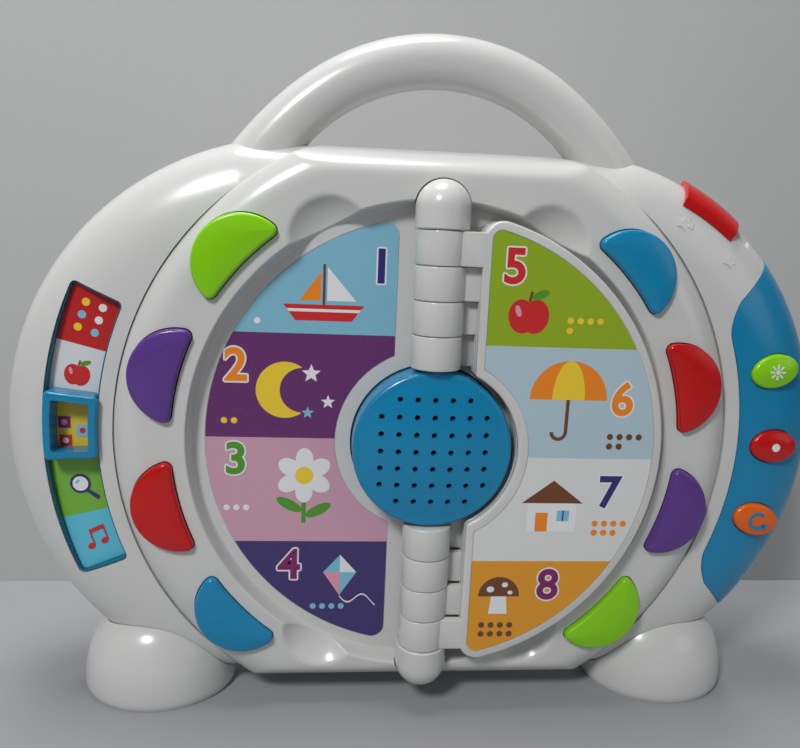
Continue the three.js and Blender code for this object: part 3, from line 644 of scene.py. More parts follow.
def spun(points: Sequence[Point2], degrees: float, x: float = 0.0, z: float = 0.0) -> list[Point2]:
    """Turns points about zero, which then moves to (x, z)."""
    side, rise = math.cos(math.radians(degrees)), math.sin(math.radians(degrees))
    return [(x + u * side - v * rise, z + u * rise + v * side) for u, v in points]


def oval(
    x: float, z: float, half_x: float, half_z: float, tilt: float = 0.0, steps: int = 28
) -> list[Point2]:
    """Gives a tilted oval."""
    return spun([(u * half_x, v * half_z) for u, v in circle(1, steps)], tilt, x, z)


def sector(
    inner: float, outer: float, start: float, end: float, x: float = 0.0, steps: int = 48
) -> list[Point2]:
    """Gives the outline of a part of a flat ring, with its angles in degrees."""
    first, last = math.radians(start), math.radians(end)
    return arc(x, 0, outer, first, last, steps) + arc(x, 0, inner, last, first, steps)


def rounded_sector(
    inner: float, outer: float, start: float, end: float, corner: float
) -> list[Point2]:
    """Gives a part of a flat ring with four rounded corners, about the face centre."""
    points: list[Point2] = []
    turns = [(outer - corner, end, -1, 0.0), (inner + corner, end, -1, 90.0),
             (inner + corner, start, 1, 180.0), (outer - corner, start, 1, 270.0)]
    for radius, edge, sign, turn in turns:
        inset = math.degrees(math.asin(corner / radius))
        angle = edge + sign * inset
        cx, cz = polar(radius, angle)
        base = math.radians(angle + turn)
        if points:
            last = math.degrees(math.atan2(points[-1][1], points[-1][0])) % 360
            if turn == 180.0:
                points += arc(0, 0, inner, math.radians(last), math.radians(angle), 24)[1:-1]
        points += arc(cx, cz, corner, base, base + math.pi / 2, 5)
    first, last = points[0], points[-1]
    close = [math.degrees(math.atan2(p[1], p[0])) % 360 for p in (last, first)]
    points += arc(0, 0, outer, math.radians(close[0]), math.radians(close[1]), 24)[1:-1]
    return points


@dataclass
class CaseShape:
    """The outer form of the case: two round lobes, rounded towards the front and the back."""

    lobe_radius: float = 129.28
    lobe_offset: float = 56.0
    top: float = 126.0
    bottom: float = 117.0
    front_y: float = 5.0
    parting_y: float = 26.0
    back_y: float = 62.0
    front_round: float = 34.0
    back_round: float = 26.0
    power: float = 2.3
    lobe_steps: int = 110
    front_steps: int = 26
    back_steps: int = 18

    def outline(self, inset: float) -> list[Point2]:
        """Gives the outline at an inset from the silhouette."""
        radius = self.lobe_radius - inset
        low = math.asin((self.bottom - inset) / radius)
        high = math.asin((self.top - inset) / radius)
        right = arc(self.lobe_offset, 0, radius, -low, high, self.lobe_steps)
        return right + [(-x, z) for x, z in reversed(right)]

    def form(self, name: str, offset: float = 0.0, coarse: int = 1) -> bpy.types.Object:
        """Makes the closed form, inset all round by an offset.

        Args:
            name: the object's name.
            offset: how far the form lies inside the outer one, in millimetres.
            coarse: divides the steps for forms that aren't seen.

        Returns:
            The solid.
        """
        fine = self.lobe_steps
        self.lobe_steps = fine // coarse
        rings = []
        for share, depth, edge, side in self._stations(offset, coarse):
            quarter = share * math.pi / 2
            inset = offset + (edge - offset) * (1 - math.cos(quarter) ** (2 / self.power))
            y = self.parting_y + side * depth * math.sin(quarter) ** (2 / self.power)
            rings.append([(x, y, z) for x, z in self.outline(inset)])
        self.lobe_steps = fine
        return skin(name, rings)

    def _stations(self, offset: float, coarse: int) -> list[tuple[float, float, float, int]]:
        """Lists the rings of the form from the front to the back."""
        front, back = self.front_steps // coarse, self.back_steps // coarse
        depth_front = self.parting_y - self.front_y - offset
        depth_back = self.back_y - offset - self.parting_y
        stations = [(1 - i / front, depth_front, self.front_round, -1) for i in range(front)]
        stations += [(i / back, depth_back, self.back_round, 1) for i in range(back + 1)]
        return stations

    def edge_depth(self, inset: float, front: float, width: float) -> float:
        """Gives the depth of a rolled edge at an inset from the silhouette."""
        if inset >= width:
            return front
        rise = (1 - (1 - max(inset, 0.0) / width) ** self.power) ** (1 / self.power)
        return self.parting_y - (self.parting_y - front) * rise


CASE = CaseShape()


@dataclass
class Handle:
    """The carry handle: a round tube on an arc between the shoulders of the case."""

    arc_radius: float = 86.3
    arc_z: float = 76.9
    tube_radius: float = 11.2
    root_z: float = 113.0
    steps: int = 120
    round_steps: int = 48
    flare: float = 5.0
    flare_top: float = 150.0

    def spread(self, height: float) -> float:
        """Gives how far the outer side of a leg swells towards its root."""
        share = (self.flare_top - height) / (self.flare_top - self.root_z)
        return self.flare * min(max(share, 0.0), 1.0) ** 2

    def build(self) -> bpy.types.Object:
        """Sweeps the tube from inside one shoulder to the other."""
        first = math.asin((self.root_z - self.arc_z) / self.arc_radius)
        rings = []
        for i in range(self.steps + 1):
            angle = first + (math.pi - 2 * first) * i / self.steps
            centre = Vector((math.cos(angle), 0, math.sin(angle)))
            radius = self.tube_radius
            ring = []
            for j in range(self.round_steps):
                turn = 2 * math.pi * j / self.round_steps
                swell = self.spread(self.arc_z + self.arc_radius * centre.z) * (1 + math.cos(turn)) / 2
                reach = self.arc_radius + radius * math.cos(turn) + swell
                y = CASE.parting_y + radius * math.sin(turn)
                ring.append((centre.x * reach, y, self.arc_z + centre.z * reach))
            rings.append(ring)
        return skin("handle", rings)


@dataclass
class SidePanel:
    """The blue plate around the right edge, with its three openings."""

    inner_radius: float = 143.3
    half_angle: float = 42.0
    bulge: float = 22.0
    knee_radius: float = 105.0
    proud: float = 0.4
    thickness: float = 1.0

    def outline(self, grow: float) -> list[Point2]:
        """Gives the plate's outline seen from the front, grown all round."""
        edge = CASE.lobe_radius + 12
        inner = self.inner_radius - grow
        half = self.half_angle + grow / 2
        x = CASE.lobe_offset
        points = arc(x, 0, edge, math.radians(-half), math.radians(half), 60)
        knee = polar(self.knee_radius, half - 2, x)
        start = polar(inner, self.bulge - 2)
        corner = polar(inner, self.bulge + 1.5)
        bend = []
        for i in range(13):
            t = i / 12
            bend.append(tuple(
                (1 - t) ** 2 * k + 2 * t * (1 - t) * c + t * t * s
                for k, c, s in zip(knee, corner, start)
            ))
        inside = arc(0, 0, inner, math.radians(self.bulge - 2), math.radians(2 - self.bulge), 48)
        low = [(px, -pz) for px, pz in reversed(bend)]
        return points + bend + inside[1:-1] + low

    def build(self, ovals: "OvalKeys") -> bpy.types.Object:
        """Makes the plate."""
        panel = CASE.form("side_panel_look", -self.proud)
        carve(panel, Cut.TAKE, CASE.form("inside", self.thickness, 2))
        carve(panel, Cut.KEEP, prism("outline", self.outline(0), -20, CASE.parting_y - GAP))
        carve(panel, Cut.TAKE, *[ovals.hole(angle) for angle in ovals.angles])
        return panel


@dataclass
class OvalKeys:
    """Three oval keys with embossed marks."""

    radius: float = 160.0
    half_long: float = 10.9
    half_short: float = 7.65
    proud: float = 2.4
    angles: tuple[float, ...] = (13.2, 0.5, -12.4)
    finishes: tuple[str, ...] = ("green_key", "red_key", "orange_key")
    mark_finishes: tuple[str, ...] = ("ink_white", "ink_white", "sky_plastic")
    hole_gap: float = 0.4
    back_y: float = 14.0
    edge_round: float = 1.7
    crown: float = 0.9
    ray_reach: Point2 = (1.5, 3.6)
    ray_half: float = 0.38
    sun_radius: float = 1.0
    dot_radius: float = 1.9
    ring_reach: Point2 = (2.9, 4.3)
    ring_turn: Point2 = (0.7, 5.6)
    ring_tip: tuple[Point2, ...] = ((2.0, -1.2), (5.4, -1.6), (3.4, -4.6))

    def outline(self, grow: float, angle: float) -> list[Point2]:
        """Gives an oval about its own place, grown all round."""
        x, z = polar(self.radius, angle)
        return oval(x, z, self.half_long + grow, self.half_short + grow, angle, 72)

    def hole(self, angle: float) -> bpy.types.Object:
        """Makes the cutter of one opening."""
        return prism("oval_hole", self.outline(self.hole_gap, angle), -5, 20)

    def build(self, finishes: Finishes) -> None:
        """Makes the keys and their marks."""
        top = CASE.front_y - self.proud
        for i, (angle, finish) in enumerate(zip(self.angles, self.finishes)):
            layers = rounded_layers(top, self.back_y, self.edge_round, self.crown, self.half_short)
            rings = [[(x, y, z) for x, z in self.outline(grow, angle)] for grow, y in layers]
            key = skin(f"oval_key_{i + 1}_look", rings)
            dress(key, finishes[finish], f"oval_{i + 1}", finish, f"oval_key_{i + 1}")
            mark = self.mark(i, angle, top - self.crown)
            dress(mark, finishes[self.mark_finishes[i]], f"oval_{i + 1}", finish)

    def mark(self, number: int, angle: float, y: float) -> bpy.types.Object:
        """Makes the embossed mark of one key: rays, a dot or an open ring."""
        cx, cz = polar(self.radius, angle)
        sunk = y - 0.15
        if number == 0:
            (near, far), half = self.ray_reach, self.ray_half
            bar = [(near, -half), (far, -half), (far, half), (near, half)]
            parts = [prism(f"ray_{k}", spun(bar, 45 * k, cx, cz), y - 0.1, y + 0.8) for k in range(8)]
            parts.append(disc("sun", self.sun_radius, y - 0.12, y + 0.8, cx, cz, 20))
        elif number == 1:
            parts = [disc("dot", self.dot_radius, sunk, y + 0.6, cx, cz, 28)]
        else:
            (inner, outer), (start, end) = self.ring_reach, self.ring_turn
            ring = arc(cx, cz, outer, start, end, 30) + arc(cx, cz, inner, end, start, 30)
            tip = [(cx + u, cz + v) for u, v in self.ring_tip]
            parts = [prism("ring", ring, sunk, y + 0.9), prism("tip", tip, sunk, y + 0.9)]
        return merge(f"oval_mark_{number + 1}", parts)


def rounded_layers(
    top: float, back: float, radius: float, crown: float = 0.0, reach: float = 10.0
) -> list[Layer]:
    """Lists [grow, y] layers of a cap with a rounded front edge and a slight crown.

    Args:
        top: depth of the cap's front edge zone.
        back: depth of its rear.
        radius: the edge's radius.
        crown: how far the middle stands in front of the edge.
        reach: the smallest half width of the cap, which the crown runs over.

    Returns:
        The layers from the middle of the front to the rear.
    """
    layers = []
    flat = reach - radius
    for i in range(8):
        share = 0.06 + 0.94 * i / 8
        grow = -radius - flat * (1 - share)
        layers.append((grow, top - crown * (1 - share ** 2)))
    for angle in quarter(6):
        layers.append((-radius * (1 - math.sin(angle)), top + radius * (1 - math.cos(angle))))
    layers.append((0.0, back))
    return layers


@dataclass
class HalfMoonKeys:
    """The eight keys around the face, each a half moon with its hollow side to the leaves."""

    chord_radius: float = 111.3
    radius: float = 20.5
    tip_radius: float = 3.0
    proud: float = 3.2
    back_y: float = 4.3
    edge_round: float = 1.6
    crown: float = 0.8
    crown_reach: float = 9.6
    hole_gap: float = 0.45
    angles: tuple[float, ...] = (43.1, 14.7, -14.7, -43.1)
    left: tuple[str, ...] = ("green_key", "purple_key", "red_key", "sky_plastic")
    right: tuple[str, ...] = ("sky_plastic", "red_key", "purple_key", "green_key")

    def outline(self, grow: float, angle: float) -> list[Point2]:
        """Gives a key's outline at its own place, grown all round."""
        tip = max(self.tip_radius + grow, 0.15)
        chord, outer = self.chord_radius - grow, self.radius + grow
        arm, reach = chord + tip, outer - tip
        tip_x = (arm ** 2 - reach ** 2 + self.chord_radius ** 2) / (2 * self.chord_radius)
        tip_z = math.sqrt(arm ** 2 - tip_x ** 2)
        inner = math.atan2(tip_z, tip_x)
        wide = math.atan2(tip_z, tip_x - self.chord_radius)
        points = arc(self.chord_radius, 0, outer, -wide, wide, 40)[:-1]
        points += arc(tip_x, tip_z, tip, wide, inner + math.pi, 10)[:-1]
        points += arc(0, 0, chord, inner, -inner, 20)[:-1]
        points += arc(tip_x, -tip_z, tip, -inner - math.pi, -wide, 10)[:-1]
        return spun(points, angle)

    def holes(self) -> list[bpy.types.Object]:
        """Makes the cutters of the openings in the face."""
        places = [*self.angles, *(180 - angle for angle in self.angles)]
        return [prism("key_hole", self.outline(self.hole_gap, angle), -6, 14) for angle in places]

    def build(self, finishes: Finishes) -> None:
        """Makes the keys."""
        layers = rounded_layers(-self.proud, self.back_y, self.edge_round, self.crown, self.crown_reach)
        for side, colours in (("left", self.left), ("right", self.right)):
            for i, (angle, finish) in enumerate(zip(self.angles, colours)):
                place = 180 - angle if side == "left" else angle
                rings = [[(x, y, z) for x, z in self.outline(grow, place)] for grow, y in layers]
                key = skin(f"half_moon_{side}_{i + 1}_look", rings)
                body = f"key_{side}_{i + 1}"
                dress(key, finishes[finish], body, finish, f"half_moon_{side}_{i + 1}")


def page_outline(
    radius: float, edge: float, cut: float, corner: float, sign: int = 1
) -> list[Point2]:
    """Gives a page's outline: an outer arc, a straight spine edge and a speaker cut-out."""
    cx = edge + corner
    cz = math.sqrt((radius - corner) ** 2 - cx ** 2)
    corner_angle = math.atan2(cz, cx)
    cut_angle = math.acos(edge / cut)
    points = arc(cx, cz, corner, math.pi, corner_angle, 10)
    points += arc(0, 0, radius, corner_angle, -corner_angle, 96)[1:-1]
    points += arc(cx, -cz, corner, -corner_angle, -math.pi, 10)
    points += arc(0, 0, cut, -cut_angle, cut_angle, 48)
    return [(sign * x, z) for x, z in points]


@dataclass
class Leaves:
    """Four stiff leaves on the spine, with knuckles, end caps and pockets for the films."""

    count: int = 4
    pitch: float = 4.0
    thickness: float = 3.7
    front_y: float = -7.9
    radius: float = 100.88
    edge_x: float = 16.5
    cut_radius: float = 37.0
    corner: float = 8.0
    knuckle_radius: float = 10.8
    knuckle_start: float = 35.0
    knuckle_pitch: float = 14.5
    knuckle_soft: float = 0.55
    edge_soft: float = 0.9
    strap_soft: float = 0.6
    strap_lap: float = 2.5
    bore: float = 2.8
    cap_soft: float = 0.5
    cap_radius: float = 11.5
    cap_straight: float = 9.0
    film_thickness: float = 0.35
    pocket: float = 0.4
    film_radius: float = 96.88
    film_edge: float = 20.0
    film_cut: float = 41.5
    film_corner: float = 4.0
    bed_film_corner: float = 5.5
    bed_radius: float = 98.0
    bed_edge: float = 17.0
    bed_cut: float = 42.0
    bed_corner: float = 16.0

    def leaf_y(self, i: int) -> float:
        """Gives the depth of a leaf's front."""
        return self.front_y + i * self.pitch

    def upright(self, name: str, profile: Sequence[Layer], steps: int = 64) -> bpy.types.Object:
        """Turns a profile of [radius, z] pairs about the spine axis."""
        rings = []
        for radius, z in profile:
            rings.append([(x, y, z) for x, y in circle(radius, steps)])
        return skin(name, rings)

    def knuckle(self, low: float, high: float) -> bpy.types.Object:
        """Makes one knuckle with soft ends."""
        radius, soft = self.knuckle_radius, self.knuckle_soft
        profile = []
        for z, side in ((low, 1), (high, -1)):
            ends = []
            for turn in quarter(3):
                away = radius - soft * (1 - math.sin(turn))
                ends.append((away, z + side * soft * (1 - math.cos(turn))))
            profile += ends if side > 0 else list(reversed(ends))
        return self.upright("knuckle", profile)

    def build_leaf(self, i: int) -> bpy.types.Object:
        """Makes one leaf as a single moulding."""
        y0 = self.leaf_y(i)
        y1 = y0 + self.thickness
        shape = page_outline(self.radius, self.edge_x, self.cut_radius, self.corner)
        leaf = soften(prism(f"page_leaf_{i + 1}_look", shape, y0, y1), self.edge_soft)
        start = self.knuckle_start + (self.count - 1 - i) * self.knuckle_pitch + GAP / 2
        end = start + self.knuckle_pitch - GAP
        for low, high in ((start, end), (-end, -start)):
            strap = block("strap", (3.0, self.edge_x + self.strap_lap), (y0, y1), (low, high))
            carve(leaf, Cut.JOIN, soften(strap, self.strap_soft, 2), self.knuckle(low, high))
        bore = self.upright("bore", [(self.bore, -FAR), (self.bore, FAR)], 24)
        pocket = page_outline(
            self.film_radius + GAP, self.film_edge - GAP, self.film_cut - GAP, self.film_corner
        )
        front = prism("pocket", pocket, y0 - 1, y0 + self.pocket)
        back = prism("pocket", pocket, y1 - self.pocket, y1 + 1)
        return carve(leaf, Cut.TAKE, bore, front, back)

    def dome(self, radius: float, base: float, steps: int) -> list[Layer]:
        """Lists the [radius, z] points of a round end that starts at a height."""
        points = []
        for turn in quarter(steps):
            points.append((max(radius * math.cos(turn), 0.02), base + radius * math.sin(turn)))
        return points

    def channel(self, gap: float) -> bpy.types.Object:
        """Makes the cutter of the round channel that the spine lies in."""
        base = self.knuckle_start + self.count * self.knuckle_pitch + self.cap_straight
        top = self.dome(self.cap_radius + gap, base, 20)
        return self.upright("channel", [(r, -z) for r, z in reversed(top)] + top, 96)

    def cap(self, sign: int) -> bpy.types.Object:
        """Makes a domed end cap of the spine."""
        base = self.knuckle_start + self.count * self.knuckle_pitch
        soft = self.cap_soft
        profile = [(self.cap_radius - soft, GAP / 2), (self.cap_radius, GAP / 2 + soft)]
        profile += self.dome(self.cap_radius, self.cap_straight, 16)
        return self.upright("cap", [(radius, sign * (base + z)) for radius, z in profile])

    def build(self, finishes: Finishes) -> None:
        """Makes the leaves, their films and the spine's ends."""
        white = finishes["white_shell"]
        for i in range(self.count):
            body = f"page_{i + 1}"
            dress(self.build_leaf(i), white, body, "white_shell", f"page_leaf_{i + 1}")
        for name, sign in (("top", 1), ("bottom", -1)):
            cap = self.cap(sign)
            cap.name = f"spine_cap_{name}_look"
            dress(cap, white, "case", "white_shell", f"spine_cap_{name}")


@dataclass
class Bezel:
    """The round face: a sunk page bed with a soft lip, key openings, dishes and a spine channel."""

    seam: float = 136.32
    bed_y: float = 8.0
    bed_drop: float = 0.12
    bed_radius: float = 102.4
    lip_radius: float = 105.8
    roll_start: float = 122.0
    roll_drop: float = 6.2
    back_y: float = 18.0
    hole_radius: float = 35.2
    flat_front: float = -1.0
    flat_round: float = 16.0
    dish: Point2 = (46.0, 88.0)
    dish_radius: float = 17.0
    dish_depth: float = 7.8
    channel_gap: float = 0.5
    around: int = 900

    def depth(self, x: float, z: float) -> float:
        """Gives the depth of the face's surface at a place.

        Args:
            x: distance to the right of the centre.
            z: height over the centre.

        Returns:
            The depth behind the face plane, in millimetres.
        """
        reach = math.hypot(x, z)
        wall = min(max((reach - self.bed_radius) / (self.lip_radius - self.bed_radius), 0.0), 1.0)
        wall = wall ** 3 * (wall * (6 * wall - 15) + 10)
        y = (self.bed_y + self.bed_drop) * (1 - wall)
        roll = max(reach - self.roll_start, 0.0) / (self.seam - self.roll_start)
        y += self.roll_drop * roll ** 2.4
        for side in (-1, 1):
            for level in (-1, 1):
                away = math.hypot(x - side * self.dish[0], z - level * self.dish[1])
                y = self.blend(y, self.scoop(away), 0.9)
        inset = min(CASE.top - z, z + CASE.bottom)
        edge = CASE.edge_depth(inset, self.flat_front, self.flat_round)
        return min(self.blend(y, edge, 1.0), self.back_y)

    def scoop(self, away: float) -> float:
        """Gives the depth of a finger dish at a distance from its middle."""
        radius = (self.dish_radius ** 2 + self.dish_depth ** 2) / (2 * self.dish_depth)
        if away >= radius:
            return -FAR
        return self.dish_depth - radius + math.sqrt(radius ** 2 - away ** 2)

    @staticmethod
    def blend(first: float, second: float, width: float) -> float:
        """Gives the larger of two depths, with a soft fillet where they cross."""
        h = max(width - abs(first - second), 0.0) / width
        return max(first, second) + h * h * width / 4

    def stations(self, angle: float) -> list[float]:
        """Lists the radii of the grid along one ray."""
        limit = self.seam
        rise = math.sin(angle)
        if rise > 0:
            limit = min(limit, (CASE.top - 0.02) / rise)
        elif rise < 0:
            limit = min(limit, (CASE.bottom - 0.02) / -rise)
        inside = [self.hole_radius, 42, 50, 57, 63, 67, 70]
        dishes = [71 + i for i in range(31)]
        lip = [102.4 + (106.2 - 102.4) * i / 12 for i in range(13)]
        land = [107.2 + i for i in range(9)]
        outside = [115.2 + (limit - 115.2) * i / 18 for i in range(1, 19)]
        return inside + dishes + lip + land + outside

    def build(self, keys: HalfMoonKeys, leaves: Leaves) -> bpy.types.Object:
        """Makes the face as one closed moulding."""
        rings = []
        for k in range(self.around):
            angle = 2 * math.pi * k / self.around
            ray = []
            for radius in self.stations(angle):
                x, z = radius * math.cos(angle), radius * math.sin(angle)
                ray.append((x, self.depth(x, z), z))
            outer, inner = ray[-1], ray[0]
            ray.append((outer[0], self.back_y + 0.05, outer[2]))
            ray.append((inner[0], self.back_y + 0.05, inner[2]))
            rings.append(ray)
        face = skin("face_bezel_look", rings, closed=True)
        carve(face, Cut.TAKE, leaves.channel(self.channel_gap), *keys.holes())
        for sign in (-1, 1):
            pocket = page_outline(
                leaves.bed_radius + GAP, leaves.bed_edge - GAP, leaves.bed_cut - GAP,
                leaves.film_corner, sign,
            )
            carve(face, Cut.TAKE, prism("pocket", pocket, self.bed_y - 1, self.bed_y + leaves.pocket))
        return face


@dataclass
class Speaker:
    """The domed blue grille with its square of holes."""

    radius: float = 34.5
    rim_y: float = -6.5
    dome: float = 3.0
    wall: float = 2.2
    flange_y: float = 14.6
    flange_width: float = 4.5
    flange_thickness: float = 2.0
    rim_round: float = 1.8
    rim_lift: float = 0.2
    dome_inset: float = 1.5
    pitch: float = 7.5
    hole: float = 1.2
    hole_depth: float = 14.0
    rows: int = 7

    def dome_at(self, reach: float) -> float:
        """Gives the dome's depth at a distance from the middle."""
        return self.rim_y - self.dome * (1 - (reach / (self.radius - self.dome_inset)) ** 2)

    def build(self) -> bpy.types.Object:
        """Makes the grille and cuts its holes."""
        profile = []
        edge = self.radius - self.rim_round
        for i in range(15):
            reach = max(edge * i / 14, 0.0)
            profile.append((reach, self.dome_at(reach)))
        for turn in quarter(6)[1:]:
            away = self.rim_round * (1 - math.sin(turn))
            depth = self.rim_y + self.rim_round * (1 - math.cos(turn)) - self.rim_lift
            profile.append((self.radius - away, depth))
        inside, foot = self.radius - self.wall, self.flange_y + self.flange_thickness
        flange = self.radius + self.flange_width
        profile += [(self.radius, self.flange_y), (flange, self.flange_y), (flange, foot), (inside, foot)]
        for i in range(9):
            reach = inside * (1 - i / 8)
            depth = self.dome_at(min(reach, self.radius - self.dome_inset)) + self.wall
            profile.append((reach, depth))
        grille = turned("speaker_grille_look", profile, 128)
        return carve(grille, Cut.TAKE, self.holes())

    def holes(self) -> bpy.types.Object:
        """Grows the hole cutters on a square of points without its corners."""
        sizes = {"Pitch": self.pitch * MM, "Radius": self.hole * MM, "Depth": self.hole_depth * MM}
        tree = GeometryTree("perforation", sizes)
        rows = self.rows
        pitch = tree.input("Pitch")
        side = tree.maths("MULTIPLY", pitch, float(rows - 1))
        grid = tree.add("GeometryNodeMeshGrid", Size_X=side, Size_Y=side, Vertices_X=rows, Vertices_Y=rows)
        split = tree.add("ShaderNodeSeparateXYZ", Vector=tree.add("GeometryNodeInputPosition").outputs[0])
        limit = tree.maths("MULTIPLY", pitch, (rows - 1) / 2 - 0.5)
        outside = []
        for socket in split.outputs[:2]:
            outside.append(tree.maths("ABSOLUTE", socket) > limit)
        corner = outside[0] * outside[1]
        points = tree.add("GeometryNodeDeleteGeometry", Geometry=grid.outputs[0], Selection=corner)
        bar = tree.add(
            "GeometryNodeMeshCylinder", Vertices=20, Radius=tree.input("Radius"), Depth=tree.input("Depth")
        )
        holes = tree.add("GeometryNodeInstanceOnPoints", Points=points.outputs[0], Instance=bar.outputs[0])
        tree.finish(holes.outputs[0], None)
        cutters = tree.grow("hole_cutters")
        cutters.data.transform(Matrix.Rotation(math.pi / 2, 4, "X"))
        cutters.data.transform(Matrix.Translation(CENTRE + Vector((0, self.rim_y * MM, 0))))
        return cutters


@dataclass
class ModeSlider:
    """The fan-shaped window with its tray, printed strip and sliding frame."""

    inner: float = 142.3
    outer: float = 165.6
    top: float = 156.1
    bottom: float = 202.8
    tray_y: float = 11.2
    tray_thickness: float = 2.0
    rim: float = 0.5
    rim_drop: float = 0.9
    knob_angle: float = 178.0
    knob_half: float = 5.3
    knob_proud: float = 3.5
    knob_frame: float = 3.1
    knob_rim: float = 1.0
    film: float = 0.35
    cells: int = 5
    corner: float = 2.6
    body_corner: float = 1.6
    cap_corner: float = 2.2
    cap_lap: float = 0.3
    cap_soft: float = 1.0
    hole_corner: float = 1.0
    sign_sizes: tuple[float, ...] = (1.0, 0.56, 1.0, 0.9, 0.9)
    cell_colours: tuple[Colour, ...] = (
        (0.5, 0.01, 0.01), (0.66, 0.67, 0.68), (0.72, 0.5, 0.03), (0.16, 0.42, 0.03), (0.1, 0.5, 0.66),
    )

    def window(self) -> bpy.types.Object:
        """Makes the cutter of the window."""
        shape = rounded_sector(self.inner, self.outer, self.top, self.bottom, self.corner)
        return prism("window", shape, -20, 20)

    def inset(self, edge: float, turn: float, corner: float) -> list[Point2]:
        """Gives the window's outline, smaller by an edge and by an angle at each end."""
        low, high = self.top + turn, self.bottom - turn
        return rounded_sector(self.inner + edge, self.outer - edge, low, high, corner)

    def tray(self) -> bpy.types.Object:
        """Makes the tray with its thin rim."""
        outline = self.inset(GAP, 0.12, self.corner - GAP)
        tray = prism("mode_track_look", outline, CASE.front_y - 1, self.tray_y + self.tray_thickness)
        carve(tray, Cut.KEEP, CASE.form("skin", self.rim_drop, 2))
        hollow = self.inset(GAP + self.rim, 0.32, self.corner - GAP - self.rim)
        return carve(tray, Cut.TAKE, prism("hollow", hollow, -5, self.tray_y))

    def strip(self) -> bpy.types.Object:
        """Makes the printed strip."""
        outline = self.inset(GAP + self.rim + 0.1, 0.36, self.corner - GAP - self.rim - 0.1)
        return prism("mode_strip_look", outline, self.tray_y - self.film, self.tray_y)

    def knob(self) -> bpy.types.Object:
        """Makes the square sliding frame."""
        edge = 2 * GAP + self.knob_rim
        low, high = self.knob_angle - self.knob_half, self.knob_angle + self.knob_half
        front = CASE.front_y - self.knob_proud
        back = self.tray_y - self.film - GAP
        inner, outer = self.inner + edge, self.outer - edge
        body = rounded_sector(inner, outer, low, high, self.body_corner)
        knob = prism("mode_slider_look", body, front + self.body_corner, back)
        cap = rounded_sector(self.inner - self.cap_lap, outer, low, high, self.cap_corner)
        carve(knob, Cut.JOIN, soften(prism("cap", cap, front, CASE.front_y - 0.4), self.cap_soft, 4))
        frame_turn = math.degrees(self.knob_frame / self.inner)
        near, far = self.inner + self.knob_frame, outer - self.knob_frame
        hole = rounded_sector(near, far, low + frame_turn, high - frame_turn, self.hole_corner)
        return carve(knob, Cut.TAKE, prism("hole", hole, -20, 20))

    def cell(self, number: int) -> tuple[Point2, float]:
        """Gives the middle of a cell of the strip and its tilt in degrees."""
        step = (self.bottom - self.top) / self.cells
        angle = self.top + step * (number + 0.5)
        return polar((self.inner + self.outer) / 2, angle), angle - 180

    def signs(self) -> list[Shape]:
        """Lists the shapes that are printed on the cells, in their places."""
        shapes: list[Shape] = []
        motifs = (Motifs.dots, Motifs.apple, Motifs.blocks, Motifs.glass, Motifs.note)
        for number, (motif, size) in enumerate(zip(motifs, self.sign_sizes)):
            (x, z), tilt = self.cell(number)
            for ink, outline in motif():
                shapes.append((ink, spun([(u * size, v * size) for u, v in outline], tilt, x, z)))
        return shapes

    def build(self, finishes: Finishes) -> None:
        """Makes the tray, the strip and the frame."""
        dress(self.tray(), finishes["navy_plastic"], "case", "navy_plastic", "mode_track")
        step, middle = (self.bottom - self.top) / self.cells, (self.top + self.bottom) / 2
        fan = Fan("mode_cells", self.cell_colours, step, middle - 180)
        dress(self.strip(), fan.build(), "case", "printed_film", "mode_strip")
        signs = ink_layers(self.signs(), self.tray_y - self.film, -1, finishes)
        dress(merge("mode_signs", signs), None, "case", "printed_film")
        dress(self.knob(), finishes["slider_blue"], "slider", "sky_plastic", "mode_slider")


